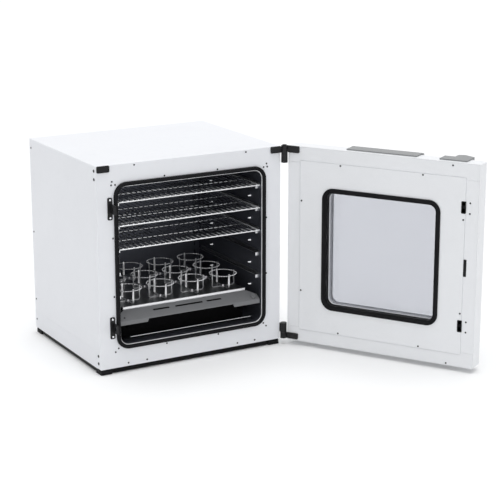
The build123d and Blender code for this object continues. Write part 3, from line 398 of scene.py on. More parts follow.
@dataclass(frozen=True)
class FibreBoard(Finish):
    """Pressed mineral fibre."""

    def look(self, shader: Shader) -> dict[str, Any]:
        """Matted strands that lie flat.

        Args:
            shader: the material's graph.

        Returns:
            The values and wires of the Principled shader's inputs.
        """
        strands = shader.noise(cells=240.0, octaves=6.0, stretch=(1.0, 1.0, 4.0))
        return {
            "Base Color": shader.blend(strands, self.colour, self.toned(0.6)),
            "Roughness": 0.92,
            "Normal": shader.bump(strands, depth=0.001, strength=0.6),
        }


@dataclass(frozen=True)
class CircuitBoard(Finish):
    """Green lacquer over copper tracks."""

    def look(self, shader: Shader) -> dict[str, Any]:
        """Squared tracks that stand a little proud.

        Args:
            shader: the material's graph.

        Returns:
            The values and wires of the Principled shader's inputs.
        """
        tracks = shader.ramp(shader.grid(cells=220.0, distance="MANHATTAN"), low=0.35, high=0.4)
        return {
            "Base Color": shader.blend(tracks, self.colour, self.toned(1.6)),
            "Roughness": 0.3 + tracks * 0.15,
            "Normal": shader.bump(tracks, depth=0.0001, strength=0.5),
        }


@dataclass(frozen=True)
class Glow(Finish):
    """Lit segments of a display, a little uneven."""

    strength: float = 1.6

    def look(self, shader: Shader) -> dict[str, Any]:
        """One uneven tone, both lit and seen.

        Args:
            shader: the material's graph.

        Returns:
            The values and wires of the Principled shader's inputs.
        """
        uneven = shader.noise(cells=120.0, octaves=3.0)
        tone = shader.blend(uneven * 0.5, self.colour, self.toned(0.75))
        glow = {"Emission Color": tone, "Emission Strength": self.strength}
        return {"Base Color": tone, "Roughness": 0.3, **glow}


class Palette:
    """Every finish of the object, and the CAD nodes whose finish isn't their slot's."""

    SPECIAL = {
        # painted shade: the rails are darkened as they lie in the chamber's shade, and the latch bar is
        # made near black as the shade in its slot
        "shelf_rails": "rail_steel_painted_shade", "rail_studs": "screw_steel", "latch_bar": "latch_painted_shade",
        # painted shade: the drive's base plate and housing wear near-black finishes, as the chamber's floor
        # lies in shade
        "drive_base_plate": "drive_black", "drive_housing": "painted_shade_black",
        # painted shade: the door's insulation, seen through the latch slots, is made black as the slots'
        # shade; the platform's edge wears the near-white wire finish, partly a painted highlight
        "door_insulation": "painted_shade_black", "platform_edge": "wire_steel",
    }

    def __init__(self) -> None:
        """Build the materials."""
        finishes = (
            PowderCoat("white_paint", (0.80, 0.81, 0.84), 0.36),
            PowderCoat("door_white", (0.82, 0.83, 0.85), 0.36),
            PowderCoat("black_metal", (0.008, 0.008, 0.009), 0.38, 0.1, 0.2, 0.3),
            PowderCoat("dark_cover", (0.19, 0.193, 0.2), 0.33, 0.06, 0.12, 0.35),
            # painted shade: near black for the drive's base plate under the cover
            PowderCoat("drive_black", (0.005, 0.005, 0.006), 0.35, 0.08, 0.2, 0.12),
            # painted shade: near black with almost no sheen, for the drive housing and the insulation seen
            # through the door's latch slots
            PowderCoat("painted_shade_black", (0.0016, 0.0016, 0.002), 0.5, 0.08, 0.2, 0.05),
            BrushedMetal("bright_steel", (0.78, 0.78, 0.79), Grain.ALONG_X, 0.24),
            # painted shade: the liner's steel is darkened nearly to black, as the chamber's inside lies in
            # shade; the brushing is the metal's own
            BrushedMetal("chamber_steel", (0.085, 0.09, 0.11), Grain.ALONG_Z, 0.3, 0.7),
            BrushedMetal("machined_steel", (0.5, 0.5, 0.52), Grain.TURNED),
            BrushedMetal("cast_aluminium", (0.56, 0.57, 0.58), Grain.TURNED, 0.42),
            BrushedMetal("bright_deck", (0.2, 0.205, 0.21), Grain.ALONG_X, 0.26),
            # partly painted highlight: plated wire made near white and only half metallic, so it reads
            # bright whatever it mirrors
            BrightWire("wire_steel", (0.93, 0.935, 0.95), 0.1, 0.55),
            # painted highlight: near white with little metal, so the thin lip reads as a bright line
            BrightWire("lip_painted_highlight", (0.95, 0.955, 0.97), 0.14, 0.3),
            BrightWire("grid_steel", (0.62, 0.625, 0.635), 0.16),
            BrightWire("screw_steel", (0.85, 0.86, 0.88), 0.14),
            # painted shade: steel darkened for the rails in the chamber's shade
            BrushedMetal("rail_steel_painted_shade", (0.3, 0.305, 0.315), Grain.ALONG_Y, 0.24),
            # painted shade: near black for the latch bar, so its slot reads as shade
            BrushedMetal("latch_painted_shade", (0.02, 0.02, 0.022), Grain.ALONG_Z, 0.4),
            Rubber("black_rubber", (0.005, 0.005, 0.006)),
            Moulding("grey_paint", (0.26, 0.265, 0.27)),
            Moulding("black_plastic", (0.006, 0.006, 0.007), 0.36, 0.25, 0.25),
            Moulding("key_plastic", (0.05, 0.053, 0.058), 0.5),
            Moulding("module_case", (0.27, 0.275, 0.28), 0.5),
            Moulding("display", (0.004, 0.005, 0.008), 0.08, 0.0),
            Pane("glass", (0.75, 0.757, 0.785)),
            FibreBoard("insulation", (0.55, 0.5, 0.4)),
            CircuitBoard("circuit", (0.02, 0.13, 0.05)),
            Glow("lit_segments", (0.25, 0.75, 1.0)),
        )
        self.by_name = {finish.name: finish.material() for finish in finishes}

    def dress(self, obj: bpy.types.Object, name: str, slot: str = "") -> None:
        """Give an object one finish.

        Args:
            obj: the object.
            name: the finish's name.
            slot: the record's slot, where its name isn't the finish's; not used.
        """
        obj.data.materials.clear()
        obj.data.materials.append(self.by_name[name])

    def dress_frame(self, frame: Mapping[str, Any]) -> None:
        """Give every CAD node its finish.
        """
        for row in frame["record"]["subparts"]:
            finish = self.SPECIAL.get(row["node"], row["material_slot"])
            self.dress(frame["nodes"][row["node"]], finish, row["material_slot"])
            LOG.info("frame node %s wears %s", row["node"], finish)


# ------------------------------------------------------------------ mesh tools
class Swing:
    """The door's pieces are drawn shut and then swung open about the hinge."""

    HINGE = (331.0, -264.0)
    ANGLE = 122.0

    @classmethod
    def open(cls, mesh: bpy.types.Mesh) -> None:
        """Turn a mesh, in metres, from the shut place to the open one.

        Args:
            mesh: the mesh.
        """
        hinge = Vector((cls.HINGE[0] * MM, cls.HINGE[1] * MM, 0.0))
        turn = Matrix.Rotation(math.radians(cls.ANGLE), 4, "Z")
        mesh.transform(Matrix.Translation(hinge) @ turn @ Matrix.Translation(-hinge))


@contextmanager
def shaping(mesh: bpy.types.Mesh) -> Iterator[bmesh.types.BMesh]:
    """Open a mesh for shaping, and write it back at the end.

    Args:
        mesh: the mesh, which may still be empty.

    Returns:
        Its editable form.
    """
    shape = bmesh.new()
    if mesh.vertices:
        shape.from_mesh(mesh)
    yield shape
    shape.to_mesh(mesh)
    shape.free()


class Bench:
    """Makes meshes and turns them into pieces that ride on the frame."""

    # steps round a turned shape, the angle and the flats' share of a six-sided one, the sharpest
    # angle that is shaded round, in degrees, and how full a rounded edge is
    STEPS = 24
    SIXTH = math.pi / 3
    FLAT = 0.866
    SHARP = 35.0
    FULL = 0.7

    def __init__(self, palette: Palette) -> None:
        """Keep the palette."""
        self.palette = palette

    @staticmethod
    def mesh(name: str, points: Iterable[Sequence[float]], edges: Sequence[tuple[int, int]] = (),
             faces: Sequence[Sequence[int]] = ()) -> bpy.types.Mesh:
        """A mesh from points in millimetres.

        Args:
            name: the mesh's name.
            points: vertex places.
            edges: pairs of vertex numbers.
            faces: loops of vertex numbers.

        Returns:
            The mesh, in metres.
        """
        mesh = bpy.data.meshes.new(name)
        metres = [tuple(c * MM for c in point) for point in points]
        mesh.from_pydata(metres, list(edges), [list(face) for face in faces])
        mesh.update()
        return mesh

    @staticmethod
    def flatten(obj: bpy.types.Object, name: str) -> bpy.types.Mesh:
        """Evaluate an object's modifiers to a plain mesh and remove the object.

        Args:
            obj: the object.
            name: the new mesh's name.

        Returns:
            The plain mesh.
        """
        depsgraph = bpy.context.evaluated_depsgraph_get()
        mesh = bpy.data.meshes.new_from_object(obj.evaluated_get(depsgraph), depsgraph=depsgraph)
        mesh.name = name
        source = obj.data
        bpy.data.objects.remove(obj)
        bpy.data.meshes.remove(source)
        return mesh

    @staticmethod
    def link(name: str, data: bpy.types.ID) -> bpy.types.Object:
        """Put a mesh, a lamp or a camera into the scene as an object at the origin.

        Args:
            name: the object's name.
            data: what the object shows.

        Returns:
            The object.
        """
        obj = bpy.data.objects.new(name, data)
        bpy.context.scene.collection.objects.link(obj)
        return obj

    @staticmethod
    def join(meshes: Sequence[bpy.types.Mesh], name: str) -> bpy.types.Mesh:
        """Several meshes as one.

        Args:
            meshes: the meshes, which are used up.
            name: the whole's name.

        Returns:
            The whole.
        """
        whole = bpy.data.meshes.new(name)
        with shaping(whole) as gathered:
            for mesh in meshes:
                gathered.from_mesh(mesh)
        for mesh in meshes:
            bpy.data.meshes.remove(mesh)
        return whole

    @staticmethod
    def soften(mesh: bpy.types.Mesh, angle: float = SHARP) -> bpy.types.Mesh:
        """Smooth the shading of a mesh, but keep edges that are sharper than the angle.

        Args:
            mesh: the mesh.
            angle: the angle, in degrees.

        Returns:
            The same mesh.
        """
        limit = math.radians(angle)
        with shaping(mesh) as shape:
            for face in shape.faces:
                face.smooth = True
            for edge in shape.edges:
                edge.smooth = not (edge.is_manifold and edge.calc_face_angle(0.0) > limit)
        return mesh

    def piece(self, name: str, mesh: bpy.types.Mesh, finish: str, body: str, replaces: str = "",
              slot: str = "") -> None:
        """Finish a piece. A piece of the door comes drawn shut, and is swung open here.

        Args:
            name: the piece's name.
            mesh: its mesh, in place.
            finish: the finish that it wears.
            body: the CAD body that it rides on.
            replaces: the CAD node that it stands for, if any.
            slot: the record's slot, where its name isn't the finish's.
        """
        if body == "door":
            Swing.open(mesh)
        obj = self.link(name, self.soften(mesh))
        self.palette.dress(obj, finish, slot)
        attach(obj, body)
        if replaces:
            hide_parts(replaces)
        LOG.info("%s: %d faces on %s", name, len(mesh.polygons), body)

    @staticmethod
    def block(name: str, low: Point, high: Point, bevel: float, segments: int = 2) -> bpy.types.Mesh:
        """A block with rounded edges.

        Args:
            name: the mesh's name.
            low: its lowest corner, in millimetres.
            high: its highest corner.
            bevel: how far the edges are rounded.
            segments: how many steps each rounding has.

        Returns:
            The mesh, in metres.
        """
        mesh = bpy.data.meshes.new(name)
        size = [h - l for l, h in zip(low, high)]
        with shaping(mesh) as shape:
            bmesh.ops.create_cube(shape, size=1.0)
            for vertex in shape.verts:
                vertex.co = Vector([(l + (c + 0.5) * s) * MM for l, c, s in zip(low, vertex.co, size)])
            bmesh.ops.bevel(shape, geom=shape.edges[:], offset=bevel * MM, segments=segments,
                            profile=Bench.FULL, affect="EDGES")
        return mesh

    @classmethod
    def lathe(cls, name: str, profile: Sequence[Pair], hexagonal: int = 0) -> bpy.types.Mesh:
        """A turned shape round +Z.

        Args:
            name: the mesh's name.
            profile: pairs of radius and height, from the axis outwards and down.
            hexagonal: how many of the first pairs belong to a six-sided recess.

        Returns:
            The mesh, in metres.
        """
        points: list[Point] = []
        faces: list[list[int]] = []
        for row, (radius, height) in enumerate(profile):
            for step in range(cls.STEPS):
                angle = 2 * math.pi * step / cls.STEPS
                off = (angle + cls.SIXTH / 2) % cls.SIXTH - cls.SIXTH / 2
                reach = radius * (cls.FLAT / math.cos(off) if row < hexagonal else 1.0)
                points.append((reach * math.cos(angle), reach * math.sin(angle), height))
        for row in range(len(profile) - 1):
            for step in range(cls.STEPS):
                a, b = row * cls.STEPS + step, row * cls.STEPS + (step + 1) % cls.STEPS
                faces.append([a, a + cls.STEPS, b + cls.STEPS, b])
        faces.append(list(range(cls.STEPS)))
        return cls.mesh(name, points, faces=faces)


# -------------------------------------------------------------- geometry trees
class Sprout(Graph):
    """A geometry-node tree with named inputs, run on a seed to give a plain mesh."""

    KINDS = {float: "NodeSocketFloat", int: "NodeSocketInt"}

    def __init__(self, name: str, **inputs: float) -> None:
        """Start a tree.

        Args:
            name: the tree's name.
            inputs: its inputs with their usual values, beside the seed, a finish and an object to copy.
        """
        super().__init__(bpy.data.node_groups.new(name, "GeometryNodeTree"))
        self._socket("Geometry", "NodeSocketGeometry", "OUTPUT")
        self._socket("Geometry", "NodeSocketGeometry")
        self._socket("Finish", "NodeSocketMaterial")
        self._socket("Shape", "NodeSocketObject")
        for key, value in inputs.items():
            self._socket(key, self.KINDS[type(value)]).default_value = value
        self.entry = self.add("NodeGroupInput")

    def _socket(self, name: str, kind: str, way: str = "INPUT") -> bpy.types.NodeTreeInterfaceSocket:
        """A new named socket of the tree."""
        return self.tree.interface.new_socket(name, in_out=way, socket_type=kind)

    def close(self, geometry: Wire) -> "Sprout":
        """End the tree with Realize Instances and Set Material.

        Args:
            geometry: what the tree has made.

        Returns:
            The tree itself.
        """
        real = self.add("GeometryNodeRealizeInstances", {}, {"Geometry": geometry})
        inputs = {"Geometry": real, "Material": self.entry.other("Finish")}
        self.end("NodeGroupOutput", self.add("GeometryNodeSetMaterial", {}, inputs))
        return self

    def rounded(self, curve: Wire, radius: Wire, steps: int) -> Wire:
        """A curve with its corners rounded in a few straight steps."""
        inputs = {"Curve": curve, "Radius": radius, "Count": steps}
        return self.add("GeometryNodeFilletCurve", {"mode": "POLY"}, inputs)

    def rectangle(self, width: str, height: str, corner: str, steps: int) -> Wire:
        """A rounded rectangle whose sizes are three of the tree's inputs.

        Args:
            width: the input that holds its width.
            height: the input that holds its height.
            corner: the input that holds its corners' radius.
            steps: how many steps each corner has.

        Returns:
            The curve.
        """
        sizes = {"Width": self.entry.other(width), "Height": self.entry.other(height)}
        return self.rounded(self.add("GeometryNodeCurvePrimitiveQuadrilateral", {}, sizes),
                            self.entry.other(corner), steps)

    def grow(self, name: str, seed: bpy.types.Mesh, **values: Any) -> bpy.types.Mesh:
        """Run the tree.

        Args:
            name: the new mesh's name.
            seed: the mesh that the tree starts from.
            values: the inputs by name.

        Returns:
            The plain result.
        """
        holder = Bench.link(name + "_seed", seed)
        modifier = holder.modifiers.new("grow", "NODES")
        modifier.node_group = self.tree
        for item in self.tree.interface.items_tree:
            if item.in_out == "INPUT" and item.name in values:
                modifier[item.identifier] = values[item.name]
        return Bench.flatten(holder, name)


@dataclass(frozen=True)
class Loop:
    """An upright rounded rectangle seen from the front, in millimetres."""

    width: float
    height: float
    corner: float
    centre_z: float

    def inset(self, by: float) -> "Loop":
        """The loop, drawn in on every side."""
        return Loop(self.width - 2 * by, self.height - 2 * by, self.corner - by, self.centre_z)


class Trees:
    """The geometry-node trees that the object's repeated pieces grow from."""

    # a screw's head, in shares of its radius and height, with a six-sided recess at first
    HEAD = ((0.12, 0.35), (0.45, 0.35), (0.47, 0.92), (0.6, 1.0), (0.82, 0.93), (0.96, 0.6), (1.0, 0.0))
    HEAD_RECESS = 3
    HEAD_SHARP = 50.0

    def __init__(self, palette: Palette) -> None:
        """Build each tree once.

        Args:
            palette: the finishes that the trees may give.
        """
        self.palette = palette
        self.wire = self._wire()
        self.seal = self._seal()
        self.scatter = self._scatter()

    @staticmethod
    def _wire() -> Sprout:
        """Round wire along the seed's edges, with bent corners.

        Returns:
            The tree.
        """
        sprout = Sprout("bent_wire", Radius=0.002, Bend=0.006, Sides=10)
        line = sprout.add("GeometryNodeMeshToCurve", {}, {"Mesh": sprout.entry})
        bent = sprout.rounded(line, sprout.entry.other("Bend"), steps=5)
        sizes = {"Resolution": sprout.entry.other("Sides"), "Radius": sprout.entry.other("Radius")}
        ring = sprout.add("GeometryNodeCurvePrimitiveCircle", {}, sizes)
        inputs = {"Curve": bent, "Profile Curve": ring, "Fill Caps": True}
        return sprout.close(sprout.add("GeometryNodeCurveToMesh", {}, inputs))

    @staticmethod
    def _seal() -> Sprout:
        """A rounded rectangular loop with a rounded section, standing upright.

        Returns:
            The tree.
        """
        sprout = Sprout("mouth_seal", Width=0.5, Height=0.5, Corner=0.04,
                        Face=0.013, Depth=0.013, Edge=0.004)
        path = sprout.rectangle("Width", "Height", "Corner", steps=14)
        section = sprout.rectangle("Face", "Depth", "Edge", steps=4)
        level = sprout.add("GeometryNodeSetCurveNormal", {"mode": "Z_UP"}, {"Curve": path})
        tube = sprout.add("GeometryNodeCurveToMesh", {}, {"Curve": level, "Profile Curve": section})
        upright = {"Geometry": tube, "Rotation": (math.radians(90), 0.0, 0.0)}
        return sprout.close(sprout.add("GeometryNodeTransform", {}, upright))

    @staticmethod
    def _scatter() -> Sprout:
        """Copies of one shape at the seed's points, each turned to the point's facing.

        Returns:
            The tree.
        """
        sprout = Sprout("fastener_field")
        source = {"Object": sprout.entry.other("Shape")}
        shape = sprout.add("GeometryNodeObjectInfo", {}, source, "Geometry")
        vector = {"data_type": "FLOAT_VECTOR"}
        facing = sprout.add("GeometryNodeInputNamedAttribute", vector, {"Name": "facing"})
        turn = sprout.add("FunctionNodeAlignRotationToVector", {"axis": "Z"}, {"Vector": facing})
        inputs = {"Points": sprout.entry, "Instance": shape, "Rotation": turn}
        return sprout.close(sprout.add("GeometryNodeInstanceOnPoints", {}, inputs))

    def ring(self, loop: Loop, face: float, front: float, back: float, edge: float,
             finish: str) -> bpy.types.Mesh:
        """A rounded rectangular ring that stands upright, round a line along Y.

        Args:
            loop: its outer outline.
            face: how broad the ring is.
            front: where it starts along Y.
            back: where it ends.
            edge: how far its section's corners are rounded.
            finish: its finish.

        Returns:
            The mesh, in metres.
        """
        mesh = self.seal.grow(
            "ring", Bench.mesh("ring_seed", [(0, 0, 0)]), Width=(loop.width - face) * MM,
            Height=(loop.height - face) * MM, Corner=(loop.corner - face / 2) * MM, Face=face * MM,
            Depth=(back - front) * MM, Edge=edge * MM, Finish=self.palette.by_name[finish])
        mesh.transform(Matrix.Translation((0.0, (front + back) / 2 * MM, loop.centre_z * MM)))
        return mesh

    def wires(self, name: str, runs: Sequence[Sequence[Point]], radius: float, sides: int, finish: str,
              bend: float = 0.0) -> bpy.types.Mesh:
        """Wires along several runs of points; a run that ends where it starts is closed.

        Args:
            name: the mesh's name.
            runs: the runs, in millimetres.
            radius: the wires' radius.
            sides: how many sides the wires have.
            finish: their finish.
            bend: the radius of a bend.

        Returns:
            One mesh with every wire.
        """
        points: list[Point] = []
        edges: list[tuple[int, int]] = []
        for run in runs:
            start = len(points)
            points += list(run)
            edges += [(start + i, start + i + 1) for i in range(len(run) - 1)]
            if run[0] == run[-1]:
                points.pop()
                edges[-1] = (edges[-1][0], start)
        seed = Bench.mesh("runs", points, edges)
        return self.wire.grow(name, seed, Radius=radius * MM, Bend=bend * MM, Sides=sides,
                              Finish=self.palette.by_name[finish])

    def copies(self, name: str, shape: bpy.types.Mesh, places: Sequence[Place],
               finish: str) -> bpy.types.Mesh:
        """One shape at several places.

        Args:
            name: the mesh's name.
            shape: the shape's mesh, which is used up.
            places: pairs of a point, in millimetres, and the way that the shape's top faces.
            finish: their finish.

        Returns:
            One mesh with every copy.
        """
        seed = Bench.mesh(name, [point for point, _ in places])
        facing = seed.attributes.new("facing", "FLOAT_VECTOR", "POINT")
        facing.data.foreach_set("vector", [c for _, way in places for c in way])
        model = Bench.link(name + "_shape", shape)
        mesh = self.scatter.grow(name, seed, Shape=model, Finish=self.palette.by_name[finish])
        bpy.data.objects.remove(model)
        bpy.data.meshes.remove(shape)
        return mesh

    def screws(self, name: str, places: Sequence[Place], finish: str, radius: float = 2.8,
               height: float = 1.4) -> bpy.types.Mesh:
        """Socket-headed screws of one size.

        Args:
            name: the mesh's name.
            places: where they sit and which way they face.
            finish: their finish.
            radius: the head's radius.
            height: the head's height.

        Returns:
            One mesh with every screw.
        """
        profile = [(r * radius, h * height) for r, h in self.HEAD]
        head = Bench.soften(Bench.lathe(name, profile, self.HEAD_RECESS), self.HEAD_SHARP)
        return self.copies(name, head, places, finish)


@dataclass
class Assembly:
    """A group of fine pieces, and the tools that make them."""

    bench: Bench
    trees: Trees

    def build(self) -> None:
        """Make the pieces."""
        raise NotImplementedError


# ----------------------------------------------------------------- the cabinet
@dataclass
class Cabinet(Assembly):
    """Small fittings of the cabinet: screws, side plugs, feet and a bright strip on the drive housing's
    fold, partly a painted reflection.
    """

    half_width: float = 320.0
    front: float = -258.0
    back: float = 258.0
    low: float = 18.0
    high: float = 658.0
    mouth_half: float = 264.0
    mouth_low: float = 76.0
    mouth_high: float = 602.0
    mouth_gap: float = 4.5
    sill_gap: float = 6.0
    corner_step: float = 10.5
    corner_nudge: float = 2.5
    beside_rows: Pair = (431.4, 247.3)
    top_screw: Pair = (193.6, 7.2)
    bottom_screws: Pair = (225.8, 161.6)
    bottom_rise: float = 10.5
    mouth_screw: float = 92.0
    side_inset: float = 12.0
    side_rows: tuple[float, ...] = (30.0, 100.0, 330.0, 610.0)
    rear_inset: float = 9.0
    plate_x: float = -277.0
    plate_proud: float = 2.5
    catch_heights: Pair = (524.0, 149.0)
    catch_reach: float = 27.6
    strike_head: Pair = (3.4, 1.8)
    plug_drops: Pair = (16.0, 42.0)
    plug_rises: Pair = (43.0, 19.0)
    plug_back: float = 14.0
    foot: float = 38.0
    foot_inset: float = 2.0
    fold: float = 1.3
    fold_rise: float = 16.5
    fold_proud: float = 0.6
    fold_sunk: float = 0.4
    fold_short: float = 1.0
    fold_edge: float = 0.3

    PLUG = ((0.4, 0.9), (3.2, 1.0), (4.3, 1.2), (4.7, 0.8), (4.8, 0.0))
    # name, inset, bottom, top, rounding and its steps
    FOOT_PARTS = (("pad", 0.0, 0.0, 14.0, 3.0, 4), ("neck", 1.0, 13.0, 18.0, 1.0, 2))

    def build(self) -> None:
        """Make the pieces."""
        small = self.trees.screws("small", self.screw_places(), "black_metal")
        large = self.trees.screws("large", self.strike_screws(), "screw_steel", *self.strike_head)
        self.bench.piece("cabinet_screw_heads", small, "black_metal", "cabinet", "cabinet_screws")
        self.bench.piece("strike_screw_heads", large, "screw_steel", "cabinet", "cabinet_screws")
        self.bench.piece("side_plugs", self._plugs(), "black_plastic", "cabinet", "cabinet_screws")
        self.bench.piece("rubber_feet", self._feet(), "black_rubber", "cabinet", "feet")
        # partly painted reflection: a bright strip along the housing's fold stands for the glints along the
        # chamber floor's front
        fold = self._housing_glint_strip()
        self.bench.piece("housing_edge", fold, "screw_steel", "cabinet", slot="bright_steel")

    def screw_places(self) -> list[Place]:
        """Where each small screw sits and which way it faces.

        Returns:
            Pairs of a point and the way that the head faces.
        """
        step, nudge = self.corner_step, self.corner_nudge
        beside, above = self.mouth_half + self.mouth_gap, self.mouth_high + self.mouth_gap
        below = self.mouth_low - self.sill_gap
        face = [(beside, z) for z in self.beside_rows]
        face.append((self.top_screw[0], self.high - self.top_screw[1]))
        face += [(x, self.low + self.bottom_rise) for x in self.bottom_screws]
        face += [(self.mouth_screw, above), (self.mouth_screw, below), (beside, above)]
        face += [(beside - step, above - step), (beside + nudge, above - step)]
        face += [(beside, below), (beside - step, below + step)]
        both = [(side * x, z) for x, z in face for side in SIDES]
        places: list[Place] = [((x, self.front, z), (0, -1, 0)) for x, z in both]
        height, inset = self.high - self.low, self.rear_inset
        for side in SIDES:
            edge = [(self.back - self.side_inset, self.low + z) for z in self.side_rows]
            places += [((side * self.half_width, y, z), (side, 0, 0)) for y, z in edge]
            rises = (inset, height / 3, height * 2 / 3, height - inset)
            rows = [(self.half_width - inset, self.low + z) for z in rises]
            rows.append((self.half_width / 3, self.high - inset))
            places += [((side * x, self.back, z), (0, 1, 0)) for x, z in rows]
        return places

    def strike_screws(self) -> list[Place]:
        """Screws that hold the two strikes.

        Returns:
            Pairs of a point and the way that the head faces.
        """
        face = self.front - self.plate_proud
        heights = [z + side * self.catch_reach for z in self.catch_heights for side in SIDES]
        return [((self.plate_x, face, z), (0, -1, 0)) for z in heights]

    def _plugs(self) -> bpy.types.Mesh:
        """Round plugs in both sides, behind the front edge.

        Returns:
            The mesh, in metres.
        """
        heights = [self.high - drop for drop in self.plug_drops]
        heights += [self.low + rise for rise in self.plug_rises]
        plugs = []
        for side in SIDES:
            for z in heights:
                plug = Bench.lathe("plug", self.PLUG)
                place = Vector((side * self.half_width, self.front + self.plug_back, z)) * MM
                plug.transform(Matrix.Translation(place) @ Matrix.Rotation(side * math.pi / 2, 4, "Y"))
                plugs.append(plug)
        return self.bench.join(plugs, "side_plugs")

    def _feet(self) -> bpy.types.Mesh:
        """Four moulded feet with a step and a rounded sole.

        Returns:
            The mesh, in metres.
        """
        half = self.foot / 2
        soles = []
        for x in (side * (self.half_width - self.foot_inset - half) for side in SIDES):
            for y in (side * (self.back - self.foot_inset - half) for side in SIDES):
                for name, inset, low, high, bevel, steps in self.FOOT_PARTS:
                    corner = (x - half + inset, y - half + inset, low)
                    across = (x + half - inset, y + half - inset, high)
                    soles.append(Bench.block(name, corner, across, bevel, steps))
        return self.bench.join(soles, "rubber_feet")

    def _housing_glint_strip(self) -> bpy.types.Mesh:
        """A bright strip along the front fold of the drive housing, partly a painted reflection of the
        glints there.

        Returns:
            The mesh, in metres.
        """
        low, high = ([c / MM for c in corner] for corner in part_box("drive_housing"))
        z = low[2] + self.fold_rise
        corner = (low[0] + self.fold_short, low[1] - self.fold_proud, z)
        across = (high[0] - self.fold_short, low[1] + self.fold_sunk, z + self.fold)
        return Bench.block("strip", corner, across, self.fold_edge)


@dataclass
class Mouth(Assembly):
    """Seal, lip and sleeve round the cabinet's mouth: the lip's brightness is a painted highlight, the
    sleeve's darkness painted shade.
    """

    outline: Loop = Loop(527.6, 525.6, 41.8, 339.0)
    face: float = 11.8
    bead: float = 2.8
    front: float = -267.0
    back: float = -254.0
    face_edge: float = 3.0
    bead_back: float = 1.6
    bead_edge: float = 1.3
    overlap: float = 0.4
    lip: float = 2.0
    lip_front: float = -261.0
    lip_deep: float = 3.0
    lip_edge: float = 0.8
    sleeve_wall: float = 1.5
    sleeve_back: float = -242.0
    sleeve_lap: float = 1.0
    sleeve_edge: float = 0.3

    def build(self) -> None:
        """Make the seal, a broad bead and a slimmer one inside it, then the lip and the sleeve."""
        broad, lap = self.face - self.bead, self.overlap
        beads = ((0.0, broad, self.front, self.face_edge),
                 (broad - lap, self.bead + lap, self.front + self.bead_back, self.bead_edge))
        seal = self.bench.join([self._ring(inset, face, front, self.back, edge, "black_rubber")
                                for inset, face, front, edge in beads], "mouth_seal")
        self.bench.piece("mouth_seal", seal, "black_rubber", "cabinet", "mouth_gasket")
        lip_back = self.lip_front + self.lip_deep
        lip = self._ring(self.face, self.lip, self.lip_front, lip_back, self.lip_edge, "bright_steel")
        # painted highlight: the lip wears a near-white finish for its bright line
        self.bench.piece("mouth_lip", lip, "lip_painted_highlight", "cabinet", "mouth_trim", "bright_steel")
        wall = self._ring(self.face + self.lip - self.sleeve_wall, self.sleeve_wall,
                          lip_back - self.sleeve_lap, self.sleeve_back, self.sleeve_edge, "bright_steel")
        # painted shade: the sleeve, whose slot is bright steel, wears the darkened chamber finish
        self.bench.piece("mouth_sleeve", wall, "chamber_steel", "cabinet", "mouth_trim", "bright_steel")

    def _ring(self, inset: float, *rest: Any) -> bpy.types.Mesh:
        """A ring drawn in from the mouth's outline; the rest is what Trees.ring takes."""
        return self.trees.ring(self.outline.inset(inset), *rest)


